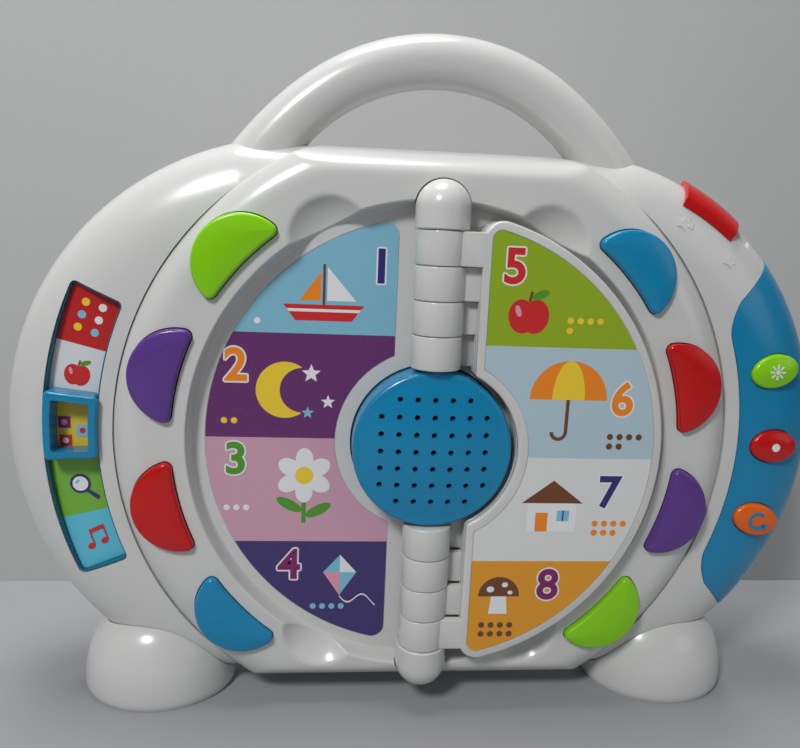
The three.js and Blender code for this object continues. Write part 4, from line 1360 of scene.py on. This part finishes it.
@dataclass
class PowerSlide:
    """The red saddle on the right shoulder."""

    angle: float = 58.5
    half: float = 6.7
    travel: float = 8.0
    stem_half: float = 3.0
    slot_gap: float = 0.4
    stem_y: Point2 = (13.0, 18.0)
    gap: float = 0.5
    thickness: float = 2.0
    front_y: float = 9.0
    soft: float = 0.9
    stem_sink: float = 1.5
    shutter_lap: float = 1.0
    shutter_spare: float = 1.2
    shutter_gap: float = 0.1

    def slot(self) -> bpy.types.Object:
        """Makes the cutter of the slot in the shell."""
        half = self.stem_half + self.slot_gap
        outline = sector(
            CASE.lobe_radius - CASE.front_round, CASE.lobe_radius + 10,
            self.angle - half - self.travel, self.angle + half, CASE.lobe_offset, 24,
        )
        return prism("slot", outline, self.stem_y[0] - self.slot_gap, self.stem_y[1] + self.slot_gap)

    def layer(
        self, name: str, inset: float, outset: float, turn: Point2, y: Point2
    ) -> bpy.types.Object:
        """Makes a layer of the case's skin between two angles.

        Args:
            name: the object's name.
            inset: depth of its inner side under the case's skin.
            outset: depth of its outer side under the case's skin.
            turn: its ends, in degrees from the switch's middle.
            y: its front and its back.

        Returns:
            The solid.
        """
        piece = CASE.form(name, outset)
        carve(piece, Cut.TAKE, CASE.form("inside", inset, 2))
        outline = sector(
            CASE.lobe_radius - 12, CASE.lobe_radius + 10,
            self.angle + turn[0], self.angle + turn[1], CASE.lobe_offset, 24,
        )
        return carve(piece, Cut.KEEP, prism("wedge", outline, y[0], y[1]))

    def build(self, finishes: Finishes) -> None:
        """Makes the saddle, its stem and the shutter that fills the slot from inside."""
        ends, depth = (-self.half, self.half), (self.front_y, CASE.parting_y - WALL)
        cap = self.layer("power_switch_look", -self.gap, -self.gap - self.thickness, ends, depth)
        soften(cap, self.soft, 4, 50.0)
        root, stem = WALL + self.stem_sink, (-self.stem_half, self.stem_half)
        carve(cap, Cut.JOIN, self.layer("stem", root, -self.gap - 0.5, stem, self.stem_y))
        reach = self.stem_half + self.shutter_lap + self.travel
        low, high = self.stem_y[0] - self.shutter_spare, self.stem_y[1] + self.shutter_spare
        top = WALL + GAP + self.shutter_gap
        carve(cap, Cut.JOIN, self.layer("shutter", root, top, (-reach, reach), (low, high)))
        dress(cap, finishes["red_key"], "power", "red_key", "power_switch")


@dataclass
class Shells:
    """The two halves of the case, the feet, the battery door and the screws."""

    seam: float = 136.4
    bridge_y: float = 18.3
    line: float = 0.12
    foot_x: float = 122.0
    foot_half: Point2 = (35.0, 30.0)
    foot_y: float = 25.0
    foot_height: float = 40.0
    foot_power: float = 2.6
    floor: float = 125.0
    screw_place: Point2 = (118.0, 84.0)
    screw_depth: float = 8.0
    screw_head: float = 3.4
    head_height: float = 2.4
    shank: Point2 = (1.75, 30.0)
    cross: Point2 = (2.1, 0.4)
    boss_wall: float = 2.3
    seat_lap: float = 1.6
    seat_depth: float = 3.2
    door_soft: float = 0.35
    rib_count: int = 7
    rib_pitch: float = 2.4
    rib_size: Point3 = (26.0, 1.2, 1.1)
    rib_rise: float = 7.0
    rib_sink: float = 0.45
    mark_radius: float = 112.0
    mark_angles: Point2 = (49.3, 63.3)
    mark_height: float = 0.35
    mark_horn: tuple[Point2, ...] = (
        (-3.2, -1.1), (-1.4, -1.1), (0.8, -3.0), (0.8, 3.0), (-1.4, 1.1), (-3.2, 1.1),
    )
    wave_radius: float = 2.6
    wave_pitch: float = 1.5
    wave_half: float = 0.35
    wave_turn: float = 0.6

    def outer(self, name: str) -> bpy.types.Object:
        """Makes the whole case with its handle."""
        return carve(CASE.form(name), Cut.JOIN, Handle().build())

    def front(
        self, slider: ModeSlider, panel: SidePanel, ovals: OvalKeys, power: PowerSlide
    ) -> bpy.types.Object:
        """Makes the front half with its openings."""
        shell = self.outer("front_shell_look")
        back = block("back", (-FAR, FAR), (CASE.parting_y - self.line, FAR), (-FAR, FAR))
        pocket = prism("pocket", panel.outline(GAP), -20, CASE.parting_y - GAP / 2)
        carve(pocket, Cut.TAKE, CASE.form("floor", panel.thickness + GAP, 2))
        carve(shell, Cut.TAKE, back, CASE.form("inside", WALL, 2))
        carve(shell, Cut.TAKE, disc("face", self.seam, -FAR, self.bridge_y, steps=360))
        carve(shell, Cut.TAKE, slider.window(), pocket, power.slot())
        return carve(shell, Cut.TAKE, *[ovals.hole(angle) for angle in ovals.angles])

    def rear(self) -> bpy.types.Object:
        """Makes the rear half with the openings of the screws and the battery door."""
        shell = self.outer("rear_shell_look")
        front = block("front", (-FAR, FAR), (-FAR, CASE.parting_y + self.line), (-FAR, FAR))
        carve(shell, Cut.TAKE, front, CASE.form("inside", WALL, 2))
        low, high = local(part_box("battery_door"))
        lap, deep = self.seat_lap, self.seat_depth
        seat = block(
            "seat", (low.x - lap, high.x + lap), (low.y - deep, CASE.back_y - 1), (low.z - lap, high.z + lap)
        )
        rebate = block(
            "rebate", (low.x - GAP, high.x + GAP), (low.y - GAP, FAR), (low.z - GAP, high.z + GAP)
        )
        carve(shell, Cut.JOIN, seat)
        carve(shell, Cut.TAKE, rebate)
        floor = CASE.back_y - self.screw_depth
        wide, tall = self.screw_place
        for x, z in ((-wide, -tall), (-wide, tall), (wide, -tall), (wide, tall)):
            boss = disc("boss", self.screw_head + self.boss_wall, floor - 3, CASE.back_y - 1, x, z, 32)
            carve(shell, Cut.JOIN, boss)
            carve(shell, Cut.TAKE, disc("hole", self.screw_head + GAP, floor, FAR, x, z, 40))
        return shell

    def foot(self, name: str, sign: int) -> bpy.types.Object:
        """Makes one domed foot, cut to meet the case."""
        rings = []
        for turn in quarter(28)[:-1]:
            rise = math.sin(turn) ** 1.15
            level = (1 - rise ** self.foot_power) ** (1 / self.foot_power)
            tuck = 1 - 0.035 * max(0.0, 1 - rise * self.foot_height / 3.0) ** 2
            ring = []
            for x, y in circle(1, 96):
                ring.append((sign * self.foot_x + x * self.foot_half[0] * level * tuck,
                             self.foot_y + y * self.foot_half[1] * level * tuck,
                             rise * self.foot_height - self.floor))
            rings.append(ring)
        return carve(skin(name, rings), Cut.TAKE, CASE.form("body", -GAP))

    def screws(self, steel: bpy.types.Material) -> bpy.types.Object:
        """Repeats a cross-head screw on the four screw places."""
        base = CASE.back_y - self.screw_depth
        radius, top = self.screw_head, base + self.head_height
        thin, length = self.shank
        head = turned("screw_head", [
            (0, base - length), (thin, base - length), (thin, base + 0.05), (radius, base + 0.05),
            (radius, base + 1.4), (radius - 0.5, base + 2.1), (radius - 1.5, top), (0, top),
        ], 32)
        for x, z in (self.cross, self.cross[::-1]):
            carve(head, Cut.TAKE, block("cross", (-x, x), (base + 1.2, base + 5), (-z, z)))
        width, height = (2 * v * MM for v in self.screw_place)
        tree = GeometryTree("screw_pattern", {"Width": width, "Height": height})
        grid = tree.add(
            "GeometryNodeMeshGrid", Size_X=tree.input("Width"), Size_Y=tree.input("Height"),
            Vertices_X=2, Vertices_Y=2,
        )
        turn = tree.add("GeometryNodeTransform", Geometry=grid.outputs[0], Rotation=(math.pi / 2, 0, 0))
        shape = tree.add("GeometryNodeObjectInfo", Object=head).outputs["Geometry"]
        screws = tree.add("GeometryNodeInstanceOnPoints", Points=turn.outputs[0], Instance=shape)
        tree.finish(screws.outputs[0], steel)
        made = tree.grow("case_screws_look")
        bpy.data.objects.remove(head)
        return made

    def door(self, white: bpy.types.Material) -> bpy.types.Object:
        """Makes the battery door with a row of grip ribs."""
        low, high = local(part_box("battery_door"))
        door = block("battery_door_look", (low.x, high.x), (low.y, high.y), (low.z, high.z))
        soften(door, self.door_soft, 2)
        screw_low, screw_high = local(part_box("door_screw"))
        middle = (screw_low + screw_high) / 2
        hole = disc("hole", self.screw_head + GAP, low.y - 1, high.y + 1, middle.x, middle.z, 40)
        carve(door, Cut.TAKE, hole)
        length, deep, thick = self.rib_size
        tree = GeometryTree("grip_ribs", {"Pitch": self.rib_pitch * MM, "Length": length * MM})
        step = tree.add("ShaderNodeCombineXYZ", Z=tree.input("Pitch"))
        line = tree.add("GeometryNodeMeshLine", Count=self.rib_count, Offset=step.outputs[0])
        size = tree.add("ShaderNodeCombineXYZ", X=tree.input("Length"), Y=deep * MM, Z=thick * MM)
        rib = tree.add("GeometryNodeMeshCube", Size=size.outputs[0])
        rows = tree.add("GeometryNodeInstanceOnPoints", Points=line.outputs[0], Instance=rib.outputs[0])
        tree.finish(rows.outputs[0], white)
        ribs = tree.grow("door_ribs")
        place = CENTRE + Vector((middle.x, high.y - self.rib_sink, low.z + self.rib_rise)) * MM
        ribs.data.transform(Matrix.Translation(place))
        return carve(door, Cut.TAKE, ribs)

    def volume_mark(self, waves: int) -> list[list[Point2]]:
        """Gives the outlines of a small loudspeaker sign with sound waves."""
        x, z = polar(self.mark_radius, self.mark_angles[waves - 1], CASE.lobe_offset)
        outlines = [[(x + u, z + v) for u, v in self.mark_horn]]
        half, turn = self.wave_half, self.wave_turn
        for k in range(waves):
            radius = self.wave_radius + self.wave_pitch * k
            outer = arc(x, z, radius + half, -turn, turn, 8)
            outlines.append(outer + arc(x, z, radius - half, turn, -turn, 8))
        return outlines

    def emboss(self) -> bpy.types.Object:
        """Makes the raised loudspeaker signs beside the volume slide."""
        parts = []
        for outline in self.volume_mark(1) + self.volume_mark(2):
            sign = prism("sign", outline, -5, 20)
            carve(sign, Cut.KEEP, CASE.form("skin", -self.mark_height, 2))
            carve(sign, Cut.TAKE, CASE.form("under", self.mark_height, 2))
            sign.data.materials.clear()
            parts.append(sign)
        return merge("volume_marks", parts)

    def build(
        self, finishes: Finishes, slider: ModeSlider, panel: SidePanel, ovals: OvalKeys, power: PowerSlide
    ) -> None:
        """Makes every piece of the housing."""
        white = finishes["white_shell"]
        dress(self.emboss(), white, "case", "white_shell")
        dress(self.front(slider, panel, ovals, power), white, "case", "white_shell", "front_shell")
        dress(self.rear(), white, "case", "white_shell", "rear_shell")
        for name, sign in (("left", -1), ("right", 1)):
            dress(self.foot(f"foot_{name}_look", sign), white, "case", "white_shell", f"foot_{name}")
        dress(panel.build(ovals), finishes["sky_plastic"], "case", "sky_plastic", "side_panel")
        steel = finishes["steel"]
        dress(self.screws(steel), steel, "case", "steel", *[f"case_screw_{i}" for i in range(1, 5)])
        dress(self.door(white), white, "case", "white_shell", "battery_door")


class Side(Enum):
    """Which side of the spine a print is laid out for."""

    LEFT = -1
    RIGHT = 1


def bar(x0: float, z0: float, x1: float, z1: float) -> list[Point2]:
    """Gives an upright rectangle between two corners."""
    return [(x0, z0), (x1, z0), (x1, z1), (x0, z1)]


def star(x: float, z: float, outer: float, inner: float, tips: int, tilt: float = 90.0) -> list[Point2]:
    """Gives a star."""
    points = []
    for i in range(2 * tips):
        radius = outer if i % 2 == 0 else inner
        angle = math.radians(tilt + 180 * i / tips)
        points.append((x + radius * math.cos(angle), z + radius * math.sin(angle)))
    return points


class Motifs:
    """Simple pictures made of flat shapes, about their own middle, in millimetres."""

    @staticmethod
    def dots() -> list[Shape]:
        """Six dots in three rows."""
        inks = ("ink_yellow", "ink_white", "ink_sky", "ink_white", "ink_yellow", "ink_sky")
        shapes: list[Shape] = []
        for i, ink in enumerate(inks):
            shapes.append((ink, oval(-3.6 + 7.2 * (i % 2), 5.6 - 5.6 * (i // 2), 1.7, 1.7, steps=20)))
        return shapes

    @staticmethod
    def blocks() -> list[Shape]:
        """Toy blocks."""
        shapes: list[Shape] = []
        cubes = (
            (-4, 3.6, "ink_plum", "ink_pink"), (3.6, 0, "ink_sky", "ink_red"),
            (-3.6, -4.6, "ink_red", "ink_white"),
        )
        for x, z, ink, dot in cubes:
            shapes.append((ink, bar(x - 2.6, z - 2.6, x + 2.6, z + 2.6)))
            shapes.append((dot, oval(x, z, 1.3, 1.3, steps=16)))
        return shapes

    @staticmethod
    def glass() -> list[Shape]:
        """A magnifying glass."""
        return [
            ("ink_navy", [(2.0, -3.2), (3.2, -2.0), (8.2, -6.6), (6.8, -8.2)]),
            ("ink_navy", oval(0, 1, 4.9, 4.9)), ("ink_white", oval(0, 1, 3.7, 3.7)),
            ("ink_sky", oval(-1.1, 2.2, 1.3, 0.7, 40, 14)),
        ]

    @staticmethod
    def note() -> list[Shape]:
        """Two joined notes."""
        return [
            ("ink_red", oval(-3.6, -3.4, 2.0, 1.5, 20, 18)), ("ink_red", oval(3.4, -2.4, 2.0, 1.5, 20, 18)),
            ("ink_red", bar(-2.4, -3.2, -1.6, 4.6)),
            ("ink_red", bar(4.6, -2.2, 5.4, 5.6)),
            ("ink_red", [(-2.4, 3.0), (5.4, 4.0), (5.4, 6.0), (-2.4, 5.0)]),
        ]

    @staticmethod
    def boat() -> list[Shape]:
        """A sailing boat."""
        return [
            ("ink_brown", bar(-0.5, -3, 0.5, 12)),
            ("ink_white", [(1.2, -1.5), (12, -1.5), (1.2, 11)]),
            ("ink_orange", [(-1.2, -1.5), (-9, -1.5), (-1.2, 9)]),
            ("ink_red", [(-15, -3), (15, -3), (10.5, -9), (-10.5, -9)]),
            ("ink_white", [(-13.6, -4.6), (13.8, -4.6), (13.1, -5.7), (-12.9, -5.7)]),
        ]

    @staticmethod
    def night() -> list[Shape]:
        """A moon and stars."""
        moon = arc(0, 0, 10, math.radians(55), math.radians(305), 30)
        moon += arc(6.2, 0, 8, math.radians(266), math.radians(94), 24)
        return [
            ("ink_yellow", moon), ("ink_white", star(9, 6, 3.4, 1.5, 5)),
            ("ink_white", star(15, -4, 2.6, 1.1, 5)), ("ink_sky", star(8, -8, 2.2, 1.0, 5)),
        ]

    @staticmethod
    def flower() -> list[Shape]:
        """A flower with two leaves."""
        shapes: list[Shape] = [("ink_green", bar(-0.8, -13, 0.8, 2))]
        shapes += [("ink_green", oval(5.2, -8, 5, 1.9, 28)), ("ink_green", oval(-5.2, -6, 5, 1.9, 152))]
        for k in range(6):
            x, z = polar(6, 60 * k + 30)
            shapes.append(("ink_white", oval(x, z + 5, 4.2, 3.1, 60 * k + 30)))
        shapes.append(("ink_yellow", oval(0, 5, 3.2, 3.2)))
        return shapes

    @staticmethod
    def kite() -> list[Shape]:
        """A kite with a tail."""
        tail = [(x, -9 - 2.6 * math.sin(x / 2.4) - x * 0.15) for x in [i * 0.8 for i in range(23)]]
        ribbon = tail + [(x, z - 0.8) for x, z in reversed(tail)]
        return [
            ("ink_sky", [(0, 12), (8, 3), (0, -9), (-8, 3)]),
            ("ink_white", [(0, 12), (8, 3), (0, 3)]),
            ("ink_pink", [(0, 3), (0, -9), (-8, 3)]),
            ("ink_white", ribbon),
        ]

    @staticmethod
    def apple() -> list[Shape]:
        """An apple with a leaf."""
        return [
            ("ink_red", oval(-3.2, -1, 6.4, 8, 8)), ("ink_red", oval(3.2, -1, 6.4, 8, -8)),
            ("ink_brown", [(-0.6, 6), (0.7, 6), (1.6, 10.5), (0.3, 10.8)]),
            ("ink_green", oval(5, 9.2, 4.2, 1.8, 24)), ("ink_pink", oval(-5, 1.5, 1.3, 2.8, 18)),
        ]

    @staticmethod
    def house() -> list[Shape]:
        """A house with a door and a window."""
        return [
            ("ink_white", bar(-10, -9, 10, 3)),
            ("ink_brown", [(-12.5, 3), (12.5, 3), (0, 12.5)]),
            ("ink_orange", bar(-6.5, -9, -1.5, -1)),
            ("ink_sky", bar(2.2, -4.5, 7.2, 0)),
            ("ink_navy", bar(4.4, -4.5, 5.0, 0)),
        ]

    @staticmethod
    def umbrella() -> list[Shape]:
        """An open umbrella."""
        dome = arc(0, 0, 13, 0, math.pi, 36)
        mid = [(x * 0.42, z) for x, z in dome]
        hook = arc(-2.4, -11, 3.0, math.pi, 2 * math.pi, 12) + arc(-2.4, -11, 1.8, 2 * math.pi, math.pi, 12)
        return [
            ("ink_brown", bar(-0.6, -11, 0.6, 1)),
            ("ink_orange", dome), ("ink_yellow", mid), ("ink_brown", hook),
        ]

    @staticmethod
    def mushroom() -> list[Shape]:
        """A mushroom with spots."""
        cap = arc(0, 0, 11, 0, math.pi, 32)
        return [
            ("ink_white", [(-4, 0), (4, 0), (5, -10), (-5, -10)]), ("ink_brown", cap),
            ("ink_white", oval(-4.6, 4, 2, 1.7)), ("ink_white", oval(3, 6.6, 1.7, 1.4)),
            ("ink_white", oval(6, 2.2, 1.4, 1.1)),
        ]


def ink_layers(
    shapes: Sequence[Shape], y: float, out: int, finishes: Finishes
) -> list[bpy.types.Object]:
    """Prints flat shapes in thin layers, the later ones on top.

    Args:
        shapes: ink names and outlines.
        y: the depth of the surface that is printed on.
        out: -1 where the surface looks to the front, 1 where it looks to the back.
        finishes: the inks.

    Returns:
        One object for each shape.
    """
    parts = []
    for level, (ink, outline) in enumerate(shapes, 1):
        depth = y + out * level * INK_STEP
        piece = prism("ink", outline, *sorted((depth, depth - out * INK_STEP * 0.6)))
        piece.data.materials.append(finishes[ink])
        parts.append(piece)
    return parts


@dataclass(frozen=True)
class Place:
    """One picture and one number in a band of a print."""

    motif: Callable[[], list[Shape]]
    at: Point2
    size: float
    number: str
    number_at: Point2
    ink: str
    dots_at: Point2
    dot_ink: str = "ink_white"
    halo: str = "ink_white"
    dot_pitch: float = 4.3
    dot_radius: float = 1.4

    def put(self, outline: list[Point2], flip: int) -> list[Point2]:
        """Places one of the picture's outlines."""
        return [(flip * (self.at[0] + self.size * x), self.at[1] + self.size * z) for x, z in outline]

    def dot(self, number: int, flip: int) -> list[Point2]:
        """Gives one of the counting dots, in rows of four."""
        x = self.dots_at[0] + self.dot_pitch * (number % 4)
        z = self.dots_at[1] - self.dot_pitch * (number // 4)
        return oval(flip * x, z, self.dot_radius, self.dot_radius, steps=20)


@dataclass
class Prints:
    """The films' bands and their printed shapes."""

    leaves: Leaves
    finishes: Finishes
    text_size: float = 20.0
    bold: float = 0.55
    halo: float = 0.7
    left_edges: tuple[float, ...] = (47.0, 0.5, -48.0)
    right_edges: tuple[float, ...] = (46.5, -2.0, -50.0)
    left_bands: tuple[Colour, ...] = (
        (0.2, 0.46, 0.6), (0.12, 0.012, 0.13), (0.58, 0.32, 0.42), (0.035, 0.02, 0.14),
    )
    right_bands: tuple[Colour, ...] = (
        (0.27, 0.4, 0.0), (0.42, 0.55, 0.62), (0.68, 0.69, 0.68), (0.72, 0.3, 0.005),
    )
    left_places: tuple[Place, ...] = (
        Place(Motifs.boat, (-48, 63), 1.15, "1", (-29, 70), "ink_navy", (-76, 52)),
        Place(Motifs.night, (-64, 22), 1.25, "2", (-90, 26), "ink_orange", (-90, 8), "ink_yellow"),
        Place(Motifs.flower, (-55, -23), 1.25, "3", (-90, -16), "ink_green", (-89, -32)),
        Place(Motifs.kite, (-38, -66), 0.95, "4", (-66, -66), "ink_plum", (-50, -80), "ink_sky"),
    )
    right_places: tuple[Place, ...] = (
        Place(Motifs.apple, (37, 60), 0.9, "5", (25, 73), "ink_red", (55, 58), "ink_yellow"),
        Place(Motifs.umbrella, (57, 24), 1.3, "6", (76, 18), "ink_orange", (77, 8), "ink_brown"),
        Place(Motifs.house, (54, -26), 1.1, "7", (74, -24), "ink_navy", (74, -32), "ink_orange"),
        Place(Motifs.mushroom, (33, -67), 0.85, "8", (50, -68), "ink_plum", (26, -81), "ink_brown"),
    )

    def numeral(self, place: Place, y: float, out: int, flip: int) -> list[bpy.types.Object]:
        """Prints a numeral over a halo, which is the same numeral shifted to all sides."""
        glyphs = []
        for k in range(8):
            dx, dz = polar(self.halo, 45 * k)
            at = (place.number_at[0] + dx, place.number_at[1] + dz)
            glyph = self.glyph(place.number, at, self.bold, y + out * INK_STEP * (1 + k / 10), flip)
            glyph.data.materials.append(self.finishes[place.halo])
            glyphs.append(glyph)
        face = self.glyph(place.number, place.number_at, self.bold, y + out * 3 * INK_STEP, flip)
        face.data.materials.append(self.finishes[place.ink])
        return [*glyphs, face]

    def glyph(self, text: str, at: Point2, grow: float, y: float, flip: int) -> bpy.types.Object:
        """Makes a numeral as a flat solid.

        Args:
            text: the numeral.
            at: its lower left corner in millimetres.
            grow: how far its outline is grown, in millimetres.
            y: the depth of its front.
            flip: -1 where the print is read from behind.

        Returns:
            The object.
        """
        curve = bpy.data.curves.new("numeral", "FONT")
        curve.body = text
        curve.size = self.text_size
        curve.offset = grow
        curve.resolution_u = 5
        curve.extrude = INK_STEP / 3
        holder = bpy.data.objects.new("numeral", curve)
        bpy.context.scene.collection.objects.link(holder)
        bpy.context.view_layer.update()
        graph = bpy.context.evaluated_depsgraph_get()
        mesh = bpy.data.meshes.new_from_object(holder.evaluated_get(graph))
        bpy.data.objects.remove(holder)
        points = [(flip * (at[0] + v.co.x), y + v.co.z * flip, at[1] + v.co.y) for v in mesh.vertices]
        faces = [tuple(p.vertices) for p in mesh.polygons]
        bpy.data.meshes.remove(mesh)
        return new_object("numeral", points, faces)

    def draw(self, name: str, side: Side, y: float, back: bool, body: str) -> None:
        """Draws one print.

        Args:
            name: the name of the printed piece.
            side: the side of the spine that the layout is for.
            y: the depth of the film's printed surface.
            back: whether the print faces the back of the leaf.
            body: the body that it rides on.
        """
        places = self.left_places if side is Side.LEFT else self.right_places
        flip = -1 if back else 1
        out = 1 if back else -1
        parts = []
        for place in places:
            shapes = [(ink, place.put(outline, flip)) for ink, outline in place.motif()]
            shapes += [(place.dot_ink, place.dot(k, flip)) for k in range(int(place.number))]
            parts += ink_layers(shapes, y, out, self.finishes)
            parts += self.numeral(place, y, out, flip)
        dress(merge(name, parts), None, body, "printed_film")

    def film(
        self, name: str, outline: list[Point2], y: float, side: Side, body: str, node: str, shift: int = 0
    ) -> None:
        """Makes one film with its bands.

        Args:
            name: the piece's name.
            outline: its shape.
            y: the depth of its front.
            side: the side of the spine that its bands are for.
            body: the body that it rides on.
            node: the CAD node that it replaces.
            shift: how many bands the colours are moved by.
        """
        bands, edges = self.right_bands, self.right_edges
        if side is Side.LEFT:
            bands, edges = self.left_bands, self.left_edges
        colours = bands[shift:] + bands[:shift]
        film = prism(name, outline, y, y + self.leaves.film_thickness)
        dress(film, Bands(f"{name}_bands", colours, edges).build(), body, "printed_film", node)

    def build(self) -> None:
        """Makes all ten films and their prints."""
        leaves = self.leaves
        inner = page_outline(leaves.film_radius, leaves.film_edge, leaves.film_cut, leaves.film_corner)
        for i in range(leaves.count):
            y0 = leaves.leaf_y(i)
            front = y0 + leaves.pocket - leaves.film_thickness
            back = y0 + leaves.thickness - leaves.pocket
            body = f"page_{i + 1}"
            for face, y, side in (("front", front, Side.RIGHT), ("back", back, Side.LEFT)):
                node = f"page_film_{face}_{i + 1}"
                self.film(f"{node}_look", inner, y, side, body, node, i)
            self.draw(f"page_print_front_{i + 1}", Side.RIGHT, front, False, body)
            self.draw(f"page_print_back_{i + 1}", Side.LEFT, back + leaves.film_thickness, True, body)
        bed = Bezel().bed_y + leaves.pocket - leaves.film_thickness
        for side in Side:
            name = side.name.lower()
            corner = leaves.bed_film_corner if side is Side.LEFT else leaves.bed_corner
            outline = page_outline(leaves.bed_radius, leaves.bed_edge, leaves.bed_cut, corner, side.value)
            self.film(f"bed_film_{name}_look", outline, bed, side, "case", f"bed_film_{name}")
            self.draw(f"bed_print_{name}", side, bed, False, "case")


@dataclass
class Studio:
    """The floor, the wall, the lamps and the camera of the photograph."""

    lens: float = 33.2
    span: float = 6.0
    wall_y: float = 0.095
    wall_foot: float = 0.0005
    tone: Colour = (0.42, 0.43, 0.42)
    dark_room: Colour = (0.13, 0.135, 0.14)
    wall_tones: tuple[Colour, Colour] = ((0.45, 0.455, 0.45), (0.48, 0.485, 0.48))
    floor_tones: tuple[Colour, Colour] = ((0.29, 0.295, 0.31), (0.33, 0.335, 0.35))
    eye: Point3 = (-44.2, -307.5, 93.0)
    look: Point3 = (0.093, 0.977, -0.194)
    up: Point3 = (-0.025, 0.197, 0.980)
    lamps: list[tuple[Point3, Point3, float, float]] = field(default_factory=lambda: [
        ((-0.5, -0.8, 0.95), (0.0, 0.0, 0.14), 0.26, 9.0),
        ((0.85, -0.7, 0.45), (0.0, 0.0, 0.12), 0.6, 0.6),
        ((-0.1, 0.05, 1.0), (0.0, 0.0, 0.1), 0.4, 5.0),
        ((0.3, 0.9, 0.5), (0.0, 0.0, 0.12), 0.7, 4.0),
    ])
    room_light: float = 0.25
    room_colour: Colour = (0.92, 0.94, 0.97)

    def camera(self) -> None:
        """Sets the camera where the photograph was taken from."""
        data = bpy.data.cameras.new("camera")
        data.lens = self.lens
        data.sensor_width = 36.0
        data.clip_start = 0.01
        eye = bpy.data.objects.new("camera", data)
        forward = Vector(self.look).normalized()
        right = forward.cross(Vector(self.up)).normalized()
        top = right.cross(forward)
        turn = Matrix((right, top, -forward)).transposed().to_4x4()
        eye.matrix_world = Matrix.Translation(CENTRE + Vector(self.eye) * MM) @ turn
        bpy.context.scene.collection.objects.link(eye)
        bpy.context.scene.camera = eye

    def stage(self) -> None:
        """Makes the floor and a wall behind the object that is seen from its front alone."""
        span = self.span
        floor = self.sheet("floor", [(-span, -span, 0), (span, -span, 0), (span, span, 0), (-span, span, 0)])
        tree, plain = self.paper("floor_paper", 3.0, self.floor_tones)
        tree.add("ShaderNodeOutputMaterial", Surface=plain.outputs[0])
        floor.data.materials.append(tree.material)
        y, foot = self.wall_y, self.wall_foot
        wall = self.sheet("wall", [(-span, y, foot), (span, y, foot), (span, y, span), (-span, y, span)])
        tree, plain = self.paper("wall_paint", 2.0, self.wall_tones)
        behind = Value(tree, tree.add("ShaderNodeNewGeometry").outputs["Backfacing"])
        shadow = Value(tree, tree.add("ShaderNodeLightPath").outputs["Is Shadow Ray"])
        clear = tree.add("ShaderNodeBsdfTransparent")
        mixed = tree.blend(tree.maths("MAXIMUM", behind, shadow), plain, clear)
        tree.add("ShaderNodeOutputMaterial", Surface=mixed.outputs[0])
        wall.data.materials.append(tree.material)

    def paper(
        self, name: str, scale: float, tones: tuple[Colour, Colour]
    ) -> tuple[ShaderTree, bpy.types.Node]:
        """Starts a matt surface that wavers between two tones, and gives its tree and shader."""
        tree = ShaderTree(name)
        colour = tree.mix(tree.noise(scale), rgba(tones[0]), rgba(tones[1]))
        return tree, tree.add("ShaderNodeBsdfDiffuse", Color=colour)

    def sheet(self, name: str, corners: list[Point3]) -> bpy.types.Object:
        """Makes a flat sheet of the stage, in metres."""
        mesh = bpy.data.meshes.new(name)
        mesh.from_pydata(corners, [], [(0, 1, 2, 3)])
        plane = bpy.data.objects.new(name, mesh)
        bpy.context.scene.collection.objects.link(plane)
        return plane

    def light(self) -> None:
        """Sets the lamps and the soft light of the room."""
        for i, (place, target, size, power) in enumerate(self.lamps):
            data = bpy.data.lights.new(f"lamp_{i}", "AREA")
            data.shape = "DISK"
            data.size = size
            data.energy = power
            lamp = bpy.data.objects.new(f"lamp_{i}", data)
            lamp.location = place
            lamp.rotation_euler = (Vector(target) - Vector(place)).to_track_quat("-Z", "Y").to_euler()
            bpy.context.scene.collection.objects.link(lamp)
        bpy.context.scene.world = self.room()
        bpy.context.scene.view_settings.view_transform = "Standard"

    def room(self) -> bpy.types.World:
        """Makes the world: soft light, a dim room in reflections and a plain tone to the camera."""
        world = bpy.data.worlds.new("room")
        world.use_nodes = True
        tree = NodeTree(world.node_tree)
        path = tree.add("ShaderNodeLightPath")
        last = tree.group.nodes["Background"]
        last.inputs[0].default_value = rgba(self.room_colour)
        last.inputs[1].default_value = self.room_light
        for ray, colour in (("Is Glossy Ray", self.dark_room), ("Is Camera Ray", self.tone)):
            tone = tree.add("ShaderNodeBackground", Color=rgba(colour))
            last = tree.blend(path.outputs[ray], last, tone)
        tree.feed(tree.group.nodes["World Output"].inputs[0], last.outputs[0])
        return world

    def build(self) -> None:
        """Sets up everything around the object."""
        self.camera()
        self.stage()
        self.light()


def dress_nodes(finishes: Finishes) -> None:
    """Gives the CAD nodes that stay, most of them inside, their finishes."""
    parts = {entry["node"]: entry["material_slot"] for entry in frame["record"]["subparts"]}
    for name, obj in frame["nodes"].items():
        if obj.hide_render:
            continue
        key = parts[name]
        if key in finishes.made:
            obj.data.materials.clear()
            obj.data.materials.append(finishes[key])


def main() -> None:
    """Builds the picture book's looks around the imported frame."""
    logging.basicConfig(level=logging.INFO, format="%(name)s %(message)s")
    Studio().build()
    finishes = Finishes()
    keys, ovals, leaves = HalfMoonKeys(), OvalKeys(), Leaves()
    slider, panel, power = ModeSlider(), SidePanel(), PowerSlide()
    Shells().build(finishes, slider, panel, ovals, power)
    face = Bezel().build(keys, leaves)
    dress(face, finishes["white_shell"], "case", "white_shell", "face_bezel", angle=50.0)
    dress(Speaker().build(), finishes["sky_plastic"], "case", "sky_plastic", "speaker_grille")
    keys.build(finishes)
    ovals.build(finishes)
    leaves.build(finishes)
    slider.build(finishes)
    power.build(finishes)
    Prints(leaves, finishes).build()
    dress_nodes(finishes)


if __name__ == "__main__":
    main()
